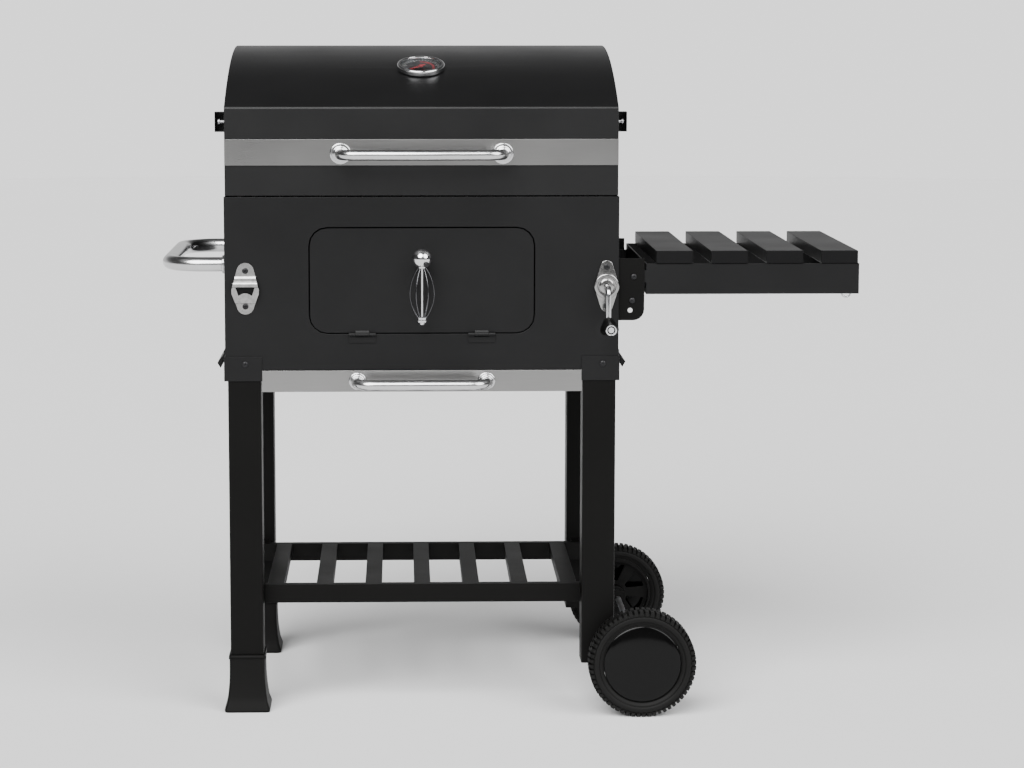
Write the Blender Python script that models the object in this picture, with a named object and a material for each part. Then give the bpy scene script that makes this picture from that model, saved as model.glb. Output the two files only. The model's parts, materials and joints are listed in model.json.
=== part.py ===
"""Charcoal grill cart with a hinged lid, a fire door, an ash drawer and a fold-down side shelf.

Everything is drawn in the cart's own frame: x from the middle of the firebox (right is +),
y from the firebox's front panel (back is +), z up from the floor.  ORIGIN then moves the whole
cart so that the world origin is the bottom centre of its bounding box.
"""
import math

import bmesh
import bpy
from mathutils import Matrix, Vector

# ---- driving dimensions, metres ------------------------------------------------------------
GAP = 0.0003                  # left between solids that touch
SHEET = 0.002                 # sheet steel of the firebox, lid, door and shelf
THIN = 0.0015                 # trim, trays and brackets

BOX_HALF = 0.320              # firebox: half width, depth, floor and rim heights
BOX_DEPTH = 0.445
BOX_FLOOR = 0.568
BOX_RIM = 0.850

LID_HALF = 0.318              # lid: half width, lower edge, and the circle of its roof
LID_BASE = 0.852
ROOF_TOP = 1.0893
ROOF_RADIUS = 0.708
ROOF_Y = 0.354
CREASE_RADIUS = 0.006
REAR_RADIUS = 0.035
LID_PIVOT = (0.4505, 0.851)   # y, z of the lid's hinge pins
LID_HINGE_X = 0.200

STRIP_Z = (0.901, 0.943)      # bright strip across the lid, and the lid's handle
LID_HANDLE_HALF = 0.131
LID_HANDLE_Z = 0.920
HANDLE_STANDOFF = 0.050
TUBE_RADIUS = 0.0085

GAUGE_Y = 0.130               # thermometer on the roof
GAUGE_RADIUS = 0.0395
VENT_Y, VENT_Z = 0.130, 0.966  # dampers on the lid's two ends
VENT_RADIUS = 0.034

DOOR_HALF = 0.1815            # fire door: half width, lower and upper edges
DOOR_Z = (0.629, 0.799)
DOOR_CORNER = 0.028
DOOR_GAP = 0.002
DOOR_PIVOT = (-0.0038, 0.6265)
DOOR_HINGE_X = 0.097
DOOR_HINGE_WIDTH = 0.044
LATCH_Z = 0.752

DRAWER_HALF = 0.261           # ash drawer
DRAWER_Z = (0.532, 0.567)
DRAWER_HANDLE_HALF = 0.105
TRAY_HALF = 0.238

LEG_X = (0.262, 0.316)        # legs: inner and outer faces, depth, lower ends
LEG_DEPTH = 0.050
LEFT_LEG_END = 0.070
RIGHT_LEG_END = 0.078
FOOT_HEIGHT = 0.095
FOOT_TOP_HALF = 0.029
FOOT_FLOOR_HALF = 0.03725

WHEEL_RADIUS = 0.088          # wheels on the right
TYRE_WIDTH = 0.044
AXLE_X = 0.359
WHEEL_Y = (-0.035, 0.480)
AXLE_RADIUS = 0.005
RIM_RADIUS = 0.0635

RACK_Z = (0.175, 0.2056)      # slatted rack between the legs
RACK_RAIL_Y = (0.030, 0.358)
RACK_PITCH = 0.0809
RACK_SLAT_WIDTH = 0.027
RACK_SLAT_COUNT = 7

SIDE_HANDLE_Z = 0.7364        # tube handle on the left end
SIDE_HANDLE_Y = (0.050, 0.400)
SIDE_HANDLE_X = 0.417
SIDE_TUBE_RADIUS = 0.012

OPENER_X, OPENER_Z = -0.286, 0.7015
CRANK_X, CRANK_Z = 0.300, 0.7045
CRANK_ARM = 0.0605
CRANK_ARM_Y = -0.040
ROD_RADIUS = 0.0045
GRIP_END_Y = -0.100
GEAR_TEETH = 12               # pinion and racks that lift the charcoal pan
GEAR_RADIUS = 0.012
GEAR_Y = (0.100, 0.112)
PAN_LIFT = 0.100
PAN_HALF = 0.275
PAN_Y = (0.030, 0.415)
PAN_Z = (0.610, 0.660)

SHELF_X = (0.365, 0.713)      # fold-down shelf on the right end
SHELF_Y = (0.005, 0.385)
SHELF_FRAME_Z = (0.690, 0.740)
SHELF_TOP = 0.761
SHELF_SLAT_WIDTH = 0.0600
SHELF_SLAT_X = (0.411, 0.5005, 0.591, 0.6805)
SHELF_PIVOT = (0.3446, 0.719)
HOOK_Y = (0.200, 0.270, 0.340)
HOOK_REACH = 0.0235

FLAP_PIVOT = (0.3240, 0.590)  # air flaps low on the two ends
FLAP_Y = (0.065, 0.375)
FLAP_TIP = (0.0135, -0.0185)  # the scoop's outer fold and its lip, from the pivot
FLAP_LIP = (0.0080, -0.0275)

LEFT_END = -(SIDE_HANDLE_X + SIDE_TUBE_RADIUS)
RIGHT_END = SHELF_X[1] + HOOK_REACH
BACK_END = WHEEL_Y[1] + TYRE_WIDTH / 2
ORIGIN = Vector(((LEFT_END + RIGHT_END) / 2, (GRIP_END_Y + BACK_END) / 2, 0.0))

AXES = {"x": Vector((1, 0, 0)), "y": Vector((0, 1, 0)), "z": Vector((0, 0, 1))}

BLACK = (0.026, 0.026, 0.028)
# finish: colour, roughness, metallic
FINISHES = {
    "enamel": (BLACK, 0.42, 0.0),
    "coated": ((0.035, 0.034, 0.033), 0.50, 0.0),
    "stainless": ((0.56, 0.55, 0.53), 0.33, 1.0),
    "chrome": ((0.75, 0.75, 0.76), 0.12, 1.0),
    "cast_iron": ((0.040, 0.038, 0.036), 0.70, 0.3),
    "zinc": ((0.48, 0.48, 0.50), 0.45, 1.0),
    "plastic": (BLACK, 0.35, 0.0),
    "rubber": ((0.030, 0.030, 0.030), 0.80, 0.0),
    "glass": ((0.80, 0.85, 0.87), 0.05, 0.0),
    "needle_red": ((0.55, 0.03, 0.03), 0.40, 0.0),
}


# ---- shapes: each returns a bmesh in the cart's frame ---------------------------------------
def block(low, high):
    """Box between two corners."""
    bm = bmesh.new()
    bmesh.ops.create_cube(bm, size=1.0)
    low, high = Vector(low), Vector(high)
    bmesh.ops.scale(bm, vec=high - low, verts=bm.verts)
    bmesh.ops.translate(bm, vec=(low + high) / 2, verts=bm.verts)
    return bm


def on_axis(axis, along, first, second):
    """Point at `along` on an axis, with the other two coordinates in x, y, z order."""
    values = [first, second]
    values.insert("xyz".index(axis), along)
    return Vector(values)


def prism(outline, axis, start, end):
    """Flat outline, drawn in the two other coordinates, extruded from start to end."""
    bm = bmesh.new()
    face = bm.faces.new([bm.verts.new(on_axis(axis, start, a, b)) for a, b in outline])
    grown = bmesh.ops.extrude_face_region(bm, geom=[face])["geom"]
    far = [item for item in grown if isinstance(item, bmesh.types.BMVert)]
    bmesh.ops.translate(bm, vec=AXES[axis] * (end - start), verts=far)
    bmesh.ops.recalc_face_normals(bm, faces=bm.faces)
    return bm


def arc(centre, radius, start, end, steps):
    """Points on a circle from one angle to another, in degrees."""
    points = []
    for step in range(steps + 1):
        angle = math.radians(start + (end - start) * step / steps)
        points.append((centre[0] + radius * math.cos(angle), centre[1] + radius * math.sin(angle)))
    return points


def circle(centre, radius, steps):
    """Closed circle without a repeated last point."""
    return arc(centre, radius, 0, 360, steps)[:-1]


def rounded(low, high, radius, steps=4):
    """Rectangle outline with round corners."""
    corners = [(high[0] - radius, high[1] - radius, 0), (low[0] + radius, high[1] - radius, 90),
               (low[0] + radius, low[1] + radius, 180), (high[0] - radius, low[1] + radius, 270)]
    points = []
    for a, b, start in corners:
        points += arc((a, b), radius, start, start + 90, steps)
    return points


def rod(axis, centre, radius, start, end, steps=12):
    """Cylinder along an axis; centre is its place in the two other coordinates."""
    return prism(circle(centre, radius, steps), axis, start, end)


def lathe(profile, steps, base, direction, closed=False):
    """Profile of (radius, height) points turned about an axis through base."""
    bm = bmesh.new()
    verts = [bm.verts.new((radius, 0, height)) for radius, height in profile]
    ends = verts[1:] + verts[:1] if closed else verts[1:]
    edges = [bm.edges.new(pair) for pair in zip(verts, ends)]
    bmesh.ops.spin(bm, geom=verts + edges, cent=(0, 0, 0), axis=(0, 0, 1), angle=math.tau,
                   steps=steps, use_merge=True)
    bmesh.ops.remove_doubles(bm, verts=bm.verts, dist=1e-6)
    bmesh.ops.recalc_face_normals(bm, faces=bm.faces)
    turn = Vector(direction).to_track_quat("Z", "Y").to_matrix().to_4x4()
    bmesh.ops.transform(bm, matrix=Matrix.Translation(base) @ turn, verts=bm.verts)
    return bm


def grow(bm, face):
    """Extrude a bar's end face in place and return the new end; the first face stays as a cap."""
    first = len(bm.faces) == 1
    grown = bmesh.ops.extrude_face_region(bm, geom=[face])["geom"]
    if not first:
        bmesh.ops.delete(bm, geom=[face], context="FACES_ONLY")
    return [item for item in grown if isinstance(item, bmesh.types.BMFace)][0]


def sweep(stations, side, sides=12):
    """Round bar through (point, radius) stations that lie in one plane; side is its normal."""
    side = Vector(side).normalized()
    points = [Vector(point) for point, radius in stations]
    frames = []
    for index, (point, radius) in enumerate(stations):
        before = [p for p in points[:index] if (p - points[index]).length > 1e-5]
        after = [p for p in points[index + 1:] if (p - points[index]).length > 1e-5]
        back = (points[index] - before[-1]).normalized() if before else Vector()
        ahead = (after[0] - points[index]).normalized() if after else Vector()
        along = (back + ahead).normalized()
        across = side.cross(along)
        frame = Matrix((across * radius, side * radius, along)).transposed().to_4x4()
        frames.append(Matrix.Translation(points[index]) @ frame)
    bm = bmesh.new()
    ring = [frames[0] @ Vector((a, b, 0)) for a, b in circle((0, 0), 1.0, sides)]
    face = bm.faces.new([bm.verts.new(point) for point in ring])
    for last, frame in zip(frames, frames[1:]):
        face = grow(bm, face)
        bmesh.ops.transform(bm, matrix=frame @ last.inverted(), verts=face.verts)
    bmesh.ops.recalc_face_normals(bm, faces=bm.faces)
    return bm


def temporary(bm):
    """Object of a bmesh that a Boolean reads."""
    mesh = bpy.data.meshes.new("temporary")
    bm.to_mesh(mesh)
    bm.free()
    obj = bpy.data.objects.new("temporary", mesh)
    bpy.context.collection.objects.link(obj)
    return obj


def combine(base, tools, operation):
    """Base bmesh joined with (UNION) or cut by (DIFFERENCE) each tool in turn."""
    body = temporary(base)
    cutters = [temporary(tool) for tool in tools]
    for cutter in cutters:
        modifier = body.modifiers.new("boolean", "BOOLEAN")
        modifier.operation = operation
        modifier.solver = "EXACT"
        modifier.object = cutter
    bpy.context.view_layer.update()
    evaluated = body.evaluated_get(bpy.context.evaluated_depsgraph_get())
    result = bmesh.new()
    result.from_mesh(evaluated.data)
    for obj in [body] + cutters:
        mesh = obj.data
        bpy.data.objects.remove(obj)
        bpy.data.meshes.remove(mesh)
    bmesh.ops.remove_doubles(result, verts=result.verts, dist=1e-5)
    return result


def join(base, *tools):
    """Union of solids."""
    return combine(base, tools, "UNION")


def cut(base, *tools):
    """Base with each tool's solid taken out."""
    return combine(base, tools, "DIFFERENCE")


def turned(bm, pivot, axis, angle):
    """The bmesh turned about an axis through pivot, by an angle in radians."""
    bmesh.ops.rotate(bm, cent=pivot, matrix=Matrix.Rotation(angle, 3, axis), verts=bm.verts)
    return bm


def mirrored(bm):
    """The bmesh's mirror image on the cart's other side."""
    bmesh.ops.scale(bm, vec=(-1, 1, 1), verts=bm.verts)
    bmesh.ops.reverse_faces(bm, faces=bm.faces)
    return bm


def add(name, bm, finish, pivot=(0.0, 0.0, 0.0)):
    """Make the named object, with its origin on pivot and its own material."""
    pivot = Vector(pivot)
    bmesh.ops.translate(bm, vec=-pivot, verts=bm.verts)
    mesh = bpy.data.meshes.new(name)
    bm.to_mesh(mesh)
    bm.free()
    mesh.shade_smooth()
    mesh.set_sharp_from_angle(angle=math.radians(35))
    colour, roughness, metallic = FINISHES[finish]
    material = bpy.data.materials.new(name)
    material.use_nodes = True
    shader = material.node_tree.nodes["Principled BSDF"]
    shader.inputs["Base Color"].default_value = (*colour, 1.0)
    shader.inputs["Roughness"].default_value = roughness
    shader.inputs["Metallic"].default_value = metallic
    mesh.materials.append(material)
    obj = bpy.data.objects.new(name, mesh)
    obj.location = pivot - ORIGIN
    bpy.context.collection.objects.link(obj)
    return obj


# ---- the fixed cart -------------------------------------------------------------------------
def firebox():
    """Open sheet box with door, crank and air openings, grate ledges and drawer runners."""
    inner = BOX_HALF - SHEET
    body = block((-BOX_HALF, 0, BOX_FLOOR), (BOX_HALF, BOX_DEPTH, BOX_RIM))
    ledge_z = (0.826, 0.828)
    runner_z = (0.556, 0.558)
    doorway = rounded((-DOOR_HALF - DOOR_GAP, DOOR_Z[0] - DOOR_GAP),
                      (DOOR_HALF + DOOR_GAP, DOOR_Z[1] + DOOR_GAP), DOOR_CORNER + DOOR_GAP)
    body = cut(body,
               block((-inner, SHEET, BOX_FLOOR + SHEET), (inner, BOX_DEPTH - SHEET, BOX_RIM + 0.01)),
               block((-0.225, 0.050, BOX_FLOOR - 0.01), (0.225, 0.395, BOX_FLOOR + 0.01)),
               prism(doorway, "y", -0.01, 0.01),
               rod("y", (CRANK_X, CRANK_Z), ROD_RADIUS + GAP, -0.01, BOX_DEPTH + 0.01),
               block((-BOX_HALF - 0.01, 0.180, 0.572), (-inner + 0.01, 0.260, 0.586)),
               block((inner - 0.01, 0.180, 0.572), (BOX_HALF + 0.01, 0.260, 0.586)))
    parts = [block((-inner - 0.001, 0.001, ledge_z[0]), (inner + 0.001, 0.014, ledge_z[1])),
             block((-inner - 0.001, BOX_DEPTH - 0.014, ledge_z[0]),
                   (inner + 0.001, BOX_DEPTH - 0.001, ledge_z[1]))]
    for side in (-1, 1):
        outline = [(0.2400, runner_z[0]), (0.2535, runner_z[0]), (0.2535, BOX_FLOOR + 0.001),
                   (0.2515, BOX_FLOOR + 0.001), (0.2515, runner_z[1]), (0.2400, runner_z[1])]
        parts.append(prism([(side * x, z) for x, z in outline], "y", 0.056, 0.390))
    add("firebox", join(body, *parts), "enamel")


def legs():
    """Four folded box legs, their corner brackets and the two moulded feet."""
    brackets_z = (0.550, 0.590)
    for depth, front in (("front", True), ("back", False)):
        y = (0.0, LEG_DEPTH) if front else (BOX_DEPTH - LEG_DEPTH, BOX_DEPTH)
        for side, sign, end in (("left", -1, LEFT_LEG_END), ("right", 1, RIGHT_LEG_END)):
            x = sorted((sign * LEG_X[0], sign * LEG_X[1]))
            tube = cut(prism(rounded((x[0], y[0]), (x[1], y[1]), 0.003, 2), "z", end, BOX_FLOOR - GAP),
                       block((x[0] + THIN, y[0] + THIN, 0), (x[1] - THIN, y[1] - THIN, 1)))
            add(f"leg_{depth}_{side}", tube, "coated")
            face = -GAP if front else BOX_DEPTH + GAP
            out = -THIN if front else THIN
            into = 0.056 if front else BOX_DEPTH - 0.056
            wall = BOX_HALF + GAP
            plan = [(sign * 0.260, face), (sign * wall, face), (sign * wall, into),
                    (sign * (wall + THIN), into), (sign * (wall + THIN), face + out),
                    (sign * 0.260, face + out)]
            add(f"leg_bracket_{depth}_{side}", prism(plan, "z", *brackets_z), "enamel")
        foot(f"foot_{depth}", -(LEG_X[0] + LEG_X[1]) / 2, sum(y) / 2)


def foot(name, x, y):
    """Moulded foot that flares to the floor, with a socket for the leg."""
    stations = [(0.0, FOOT_FLOOR_HALF), (0.005, FOOT_FLOOR_HALF)]
    for step in range(1, 7):
        height = 0.005 + 0.065 * step / 6
        flare = (1 - step / 6) ** 2
        stations.append((height, FOOT_TOP_HALF + (FOOT_FLOOR_HALF - FOOT_TOP_HALF) * flare * 0.8))
    stations += [(0.088, FOOT_TOP_HALF), (0.0885, FOOT_TOP_HALF + 0.001),
                 (FOOT_HEIGHT, FOOT_TOP_HALF + 0.001)]
    bm = bmesh.new()
    face = bm.faces.new([bm.verts.new((a, b, 0)) for a, b in rounded((-1, -1), (1, 1), 0.16, 3)])
    bmesh.ops.scale(bm, vec=(stations[0][1], stations[0][1], 1), verts=bm.verts)
    for (low, wide), (high, narrow) in zip(stations, stations[1:]):
        face = grow(bm, face)
        bmesh.ops.scale(bm, vec=(narrow / wide, narrow / wide, 1), verts=face.verts)
        bmesh.ops.translate(bm, vec=(0, 0, high - low), verts=face.verts)
    bmesh.ops.recalc_face_normals(bm, faces=bm.faces)
    bmesh.ops.translate(bm, vec=(x, y, 0), verts=bm.verts)
    half_x = (LEG_X[1] - LEG_X[0]) / 2 + GAP
    half_y = LEG_DEPTH / 2 + GAP
    socket = block((x - half_x, y - half_y, LEFT_LEG_END - GAP), (x + half_x, y + half_y, 0.2))
    add(name, cut(bm, socket), "plastic")


def rack():
    """Slatted rack between the legs: two rails, the back one with ears to the back legs."""
    front, back = RACK_RAIL_Y
    deep = 0.015
    end = LEG_X[0] - GAP
    slats = []
    half = RACK_SLAT_WIDTH / 2
    for number in range(RACK_SLAT_COUNT):
        x = (number - (RACK_SLAT_COUNT - 1) / 2) * RACK_PITCH
        low = RACK_Z[1] - 0.018
        outline = [(x - half, low), (x - half + THIN, low), (x - half + THIN, RACK_Z[1] - THIN),
                   (x + half - THIN, RACK_Z[1] - THIN), (x + half - THIN, low), (x + half, low),
                   (x + half, RACK_Z[1]), (x - half, RACK_Z[1])]
        slats.append(prism(outline, "y", front + deep - 0.001, back + 0.001))
    ears = [block((sign * 0.285 - 0.015, back + deep - 0.001, RACK_Z[0]),
                  (sign * 0.285 + 0.015, BOX_DEPTH - LEG_DEPTH - GAP, RACK_Z[1])) for sign in (-1, 1)]
    rail = block((-end, front, RACK_Z[0]), (end, front + deep, RACK_Z[1]))
    rear = block((-0.300, back, RACK_Z[0]), (0.300, back + deep, RACK_Z[1]))
    add("bottom_rack", join(rail, *slats, rear, *ears), "coated")


def running_gear():
    """Axle, its two brackets on the right legs, and two wheels with hub and cap."""
    x, z = AXLE_X, WHEEL_RADIUS
    reach = 0.014
    add("wheel_axle", rod("y", (x, z), AXLE_RADIUS, WHEEL_Y[0] - reach, WHEEL_Y[1] + reach), "zinc")
    for depth, middle in (("front", LEG_DEPTH / 2), ("back", BOX_DEPTH - LEG_DEPTH / 2)):
        plate = join(block((LEG_X[1] + GAP, middle - 0.020, 0.079),
                           (LEG_X[1] + 0.003, middle + 0.020, 0.140)),
                     block((LEG_X[1] + 0.002, middle - 0.002, 0.074), (x + 0.013, middle + 0.002, 0.104)))
        hole = rod("y", (x, z), AXLE_RADIUS + GAP, middle - 0.1, middle + 0.1)
        add(f"axle_bracket_{depth}", cut(plate, hole), "coated")
    for depth, y, outward in (("front", WHEEL_Y[0], -1), ("back", WHEEL_Y[1], 1)):
        wheel(depth, (x, y, z), (0, outward, 0))


def wheel(depth, centre, outward):
    """Tyre, spoked hub and domed cap; heights run along the axle, outwards."""
    half = TYRE_WIDTH / 2
    tyre = [(RIM_RADIUS + GAP, -0.016), (0.072, -half + 0.001), (0.083, -half),
            (WHEEL_RADIUS, -half + 0.006), (WHEEL_RADIUS, half - 0.006), (0.083, half),
            (0.072, half - 0.001), (RIM_RADIUS + GAP, 0.016)]
    add(f"tyre_{depth}", lathe(tyre, 40, centre, outward, closed=True), "rubber", centre)
    bore = AXLE_RADIUS + 2 * GAP
    section = [(bore, -0.020), (0.014, -0.020), (0.015, -0.003), (0.0585, -0.003), (0.0585, -0.015),
               (RIM_RADIUS, -0.015), (RIM_RADIUS, 0.015), (0.0585, 0.015), (0.0585, 0.001),
               (0.015, 0.001), (0.014, 0.012), (bore, 0.012)]
    hub = lathe(section, 28, centre, outward, closed=True)
    windows = []
    for spoke in range(6):
        angle = 60 * spoke + 30
        corners = arc((0, 0), 0.052, angle - 18, angle + 18, 3)
        corners += arc((0, 0), 0.021, angle + 8, angle - 8, 1)
        outline = [(centre[0] + a, centre[2] + b) for a, b in corners]
        windows.append(prism(outline, "y", centre[1] - 0.008, centre[1] + 0.008))
    add(f"wheel_hub_{depth}", cut(hub, *windows), "plastic", centre)
    dome = [(0.0, 0.0215), (0.030, 0.0206), (0.055, 0.0180), (0.0625, 0.0160), (0.0625, 0.0153),
            (0.0600, 0.0153), (0.030, 0.0184), (0.0, 0.0193)]
    add(f"wheel_cap_{depth}", lathe(dome, 28, centre, outward), "plastic", centre)


def handle(half, z, wall, standoff, rosette=0.0175, bow=0.0):
    """U-shaped tube handle with a round rosette on each end, standing out towards the front."""
    bend = 0.024
    out = wall - standoff
    left = [((-half, wall, z), rosette), ((-half, wall - 0.003, z), rosette),
            ((-half, wall - 0.005, z), TUBE_RADIUS)]
    left += [((x, y, z), TUBE_RADIUS) for x, y in arc((-half + bend, out + bend), bend, 180, 270, 5)]
    middle = [((x, out - bow, z), TUBE_RADIUS) for x in (-half * 0.4, half * 0.4)]
    right = [((-point[0], point[1], point[2]), radius) for point, radius in reversed(left)]
    return sweep(left + middle + right, (0, 0, 1), 10)


def side_handle():
    """Big tube handle on the left end, for lifting and pulling the cart."""
    wall = -(BOX_HALF + GAP)
    bend = 0.060
    low, high = SIDE_HANDLE_Y
    first = [((wall, low, SIDE_HANDLE_Z), 0.018), ((wall - 0.003, low, SIDE_HANDLE_Z), 0.018),
             ((wall - 0.005, low, SIDE_HANDLE_Z), SIDE_TUBE_RADIUS)]
    turn = arc((-SIDE_HANDLE_X + bend, low + bend), bend, 270, 180, 6)
    first += [((x, y, SIDE_HANDLE_Z), SIDE_TUBE_RADIUS) for x, y in turn]
    second = [((point[0], low + high - point[1], point[2]), radius) for point, radius in reversed(first)]
    add("side_handle", sweep(first + second, (0, 0, 1), 12), "chrome")


def bottle_opener():
    """Stamped opener on the front: plate with a raised lip over its mouth."""
    x, z = OPENER_X, OPENER_Z
    plate = prism(rounded((x - 0.0225, z - 0.027), (x + 0.0225, z + 0.027), 0.010), "y", -0.0018, -GAP)
    tabs = prism(rounded((x - 0.011, z - 0.042), (x + 0.011, z + 0.042), 0.0109), "y", -0.0018, -GAP)
    mouth = prism(rounded((x - 0.0145, z - 0.015), (x + 0.0145, z + 0.013), 0.007), "y", -0.02, 0.02)
    side = [(-0.0010, z + 0.023), (-0.0130, z + 0.016), (-0.0150, z + 0.008), (-0.0135, z + 0.0075),
            (-0.0115, z + 0.0145), (-0.0010, z + 0.0205)]
    lip = prism(side, "x", x - 0.016, x + 0.016)
    add("bottle_opener", join(cut(join(plate, tabs), mouth), lip), "stainless")


def shelf_brackets():
    """Two angles on the right wall, each with the pin that the shelf turns on."""
    x, z = SHELF_PIVOT
    wall = BOX_HALF + GAP
    for depth, outer, inner in (("front", SHELF_Y[0], 0.040), ("back", SHELF_Y[1], 0.350)):
        inward = 1 if depth == "front" else -1
        flange_z = (0.6475, 0.749)
        low = 0.018
        outline = [(wall, flange_z[1]), (wall, flange_z[0])]
        outline += arc((0.362 - low, flange_z[0] + low), low, 270, 360, 5) + [(0.362, flange_z[1])]
        flange = prism(outline, "y", *sorted((outer, outer + inward * SHEET)))
        leaf = block((wall, min(outer, inner), flange_z[0]), (wall + THIN, max(outer, inner), flange_z[1]))
        pin = rod("y", (x, z), 0.003, *sorted((outer + inward * 0.001, outer + inward * 0.008)))
        slot = rod("y", (0.339, 0.664), 0.004, outer - 0.01, outer + 0.01)
        add(f"shelf_bracket_{depth}", join(cut(flange, slot), leaf, pin), "enamel")


def grates():
    """Two cooking grates that rest on the firebox's ledges."""
    for side, sign in (("left", -1), ("right", 1)):
        near, far = 0.0015, 0.3155
        low, high = sorted((sign * near, sign * far))
        plate = block((low, 0.0035, 0.8283), (high, 0.4415, 0.8333))
        slots = bmesh.new()
        count, margin, bar = 13, 0.010, 0.007
        pitch = (far - near - 2 * margin + bar) / count
        for number in range(count):
            start = low + margin + number * pitch
            for y in ((0.016, 0.219), (0.226, 0.429)):
                piece = block((start, y[0], 0.82), (start + pitch - bar, y[1], 0.84))
                mesh = bpy.data.meshes.new("slot")
                piece.to_mesh(mesh)
                piece.free()
                slots.from_mesh(mesh)
                bpy.data.meshes.remove(mesh)
        add(f"cooking_grate_{side}", cut(plate, slots), "cast_iron")


# ---- the lid and what it carries --------------------------------------------------------------
def lid_outline(inset):
    """Lid section in y and z: front band, crease, round roof, rear corner and back."""
    centre_z = ROOF_TOP - ROOF_RADIUS
    radius = ROOF_RADIUS - inset
    front_y = CREASE_RADIUS
    reach = ROOF_RADIUS - CREASE_RADIUS
    front_z = centre_z + math.sqrt(reach ** 2 - (ROOF_Y - front_y) ** 2)
    front_angle = math.degrees(math.atan2(front_z - centre_z, front_y - ROOF_Y))
    rear_y = BOX_DEPTH - REAR_RADIUS
    reach = ROOF_RADIUS - REAR_RADIUS
    rear_z = centre_z + math.sqrt(reach ** 2 - (rear_y - ROOF_Y) ** 2)
    rear_angle = math.degrees(math.atan2(rear_z - centre_z, rear_y - ROOF_Y))
    points = [(inset, LID_BASE - inset)]
    points += arc((front_y, front_z), CREASE_RADIUS - inset, 180, front_angle, 3)
    points += arc((ROOF_Y, centre_z), radius, front_angle, rear_angle, 12)[1:-1]
    points += arc((rear_y, rear_z), REAR_RADIUS - inset, rear_angle, 0, 5)
    points.append((BOX_DEPTH - inset, LID_BASE - inset))
    return points


def gauge_frame():
    """Point on the roof under the thermometer, and the roof's outward direction there."""
    centre = Vector((0, ROOF_Y, ROOF_TOP - ROOF_RADIUS))
    lean = math.asin((ROOF_Y - GAUGE_Y) / ROOF_RADIUS)
    outward = Vector((0, -math.sin(lean), math.cos(lean)))
    return centre + outward * ROOF_RADIUS, outward


def vent_holes():
    """Centres of the round air holes in a damper and in the lid's end behind it."""
    return [(VENT_Y + 0.020 * math.cos(math.radians(90 * turn)),
             VENT_Z + 0.020 * math.sin(math.radians(90 * turn))) for turn in range(4)]


def lid():
    """Sheet lid with its strip, handle, thermometer, dampers and hinge leaves."""
    pivot = (0, *LID_PIVOT)
    inner = LID_HALF - SHEET
    base, outward = gauge_frame()
    shell = cut(prism(lid_outline(0), "x", -LID_HALF, LID_HALF),
                prism(lid_outline(SHEET), "x", -inner, inner),
                block((-inner, SHEET, LID_BASE - 0.01), (inner, BOX_DEPTH - SHEET, LID_BASE + 0.01)),
                lathe([(0, -0.02), (0.0040, -0.02), (0.0040, 0.02), (0, 0.02)], 12, base, outward))
    holes = [rod("x", centre, 0.007, -LID_HALF - 0.01, LID_HALF + 0.01, 10) for centre in vent_holes()]
    add("lid_shell", cut(shell, *holes), "enamel", pivot)
    add("lid_strip", block((-LID_HALF, -0.0018, STRIP_Z[0]), (LID_HALF, -GAP, STRIP_Z[1])),
        "stainless", pivot)
    add("lid_handle", handle(LID_HANDLE_HALF, LID_HANDLE_Z, -0.0018 - GAP,
                             HANDLE_STANDOFF, bow=0.003), "chrome", pivot)
    thermometer(base, outward)
    for side, sign in (("left", -1), ("right", 1)):
        lid_vent(side, sign)
        lid_hinge(side, sign * LID_HINGE_X)


def thermometer(base, outward):
    """Dial case with a stem through the roof, a glass and a needle on its own axis."""
    case = [(0, -0.045), (0.0030, -0.043), (0.0034, GAP), (0.0385, GAP), (GAUGE_RADIUS, 0.0025),
            (GAUGE_RADIUS, 0.0075), (0.0375, 0.0100), (0.0345, 0.0100), (0.0340, 0.0030), (0.0, 0.0030)]
    add("thermometer_case", lathe(case, 24, base, outward), "chrome", base)
    glass = [(0, 0.0075), (0.0335, 0.0075), (0.0335, 0.0085), (0, 0.0090)]
    add("thermometer_glass", lathe(glass, 24, base, outward), "glass", base)
    hub = lathe([(0, 0.0042), (0.0035, 0.0042), (0.0035, 0.0062), (0, 0.0062)], 12, base, outward)
    pointer = prism([(-0.0008, 0.0260), (-0.0016, -0.0080), (0.0016, -0.0080), (0.0008, 0.0260)],
                    "z", 0.0046, 0.0058)
    turn = Matrix.Translation(base) @ outward.to_track_quat("Z", "Y").to_matrix().to_4x4()
    bmesh.ops.rotate(pointer, cent=(0, 0, 0), matrix=Matrix.Rotation(math.radians(130), 3, "Z"),
                     verts=pointer.verts)
    bmesh.ops.transform(pointer, matrix=turn, verts=pointer.verts)
    add("thermometer_needle", join(hub, pointer), "needle_red", base)


def lid_vent(side, sign):
    """Round damper on one end of the lid, with holes and a grip that is closed at the back."""
    wall = LID_HALF + GAP
    disc = rod("x", (VENT_Y, VENT_Z), VENT_RADIUS, wall, wall + 0.0012, 32)
    holes = [rod("x", centre, 0.007, wall - 0.01, wall + 0.01, 10) for centre in vent_holes()]
    high, reach, wide = 0.0165, 0.0235, 0.010
    grip = [(wall + 0.0006, -high), (wall + reach, -high), (wall + reach, high), (wall + 0.0006, high),
            (wall + 0.0006, high - THIN), (wall + reach - THIN, high - THIN),
            (wall + reach - THIN, THIN - high), (wall + 0.0006, THIN - high)]
    box = prism([(x, VENT_Z + z) for x, z in grip], "y", VENT_Y - wide, VENT_Y + wide)
    rear = block((wall + 0.0006, VENT_Y + wide - THIN, VENT_Z - high),
                 (wall + reach, VENT_Y + wide, VENT_Z + high))
    bm = join(cut(disc, *holes), box, rear)
    if sign < 0:
        bm = mirrored(bm)
    add(f"lid_vent_{side}", bm, "enamel", (sign * wall, VENT_Y, VENT_Z))


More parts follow.
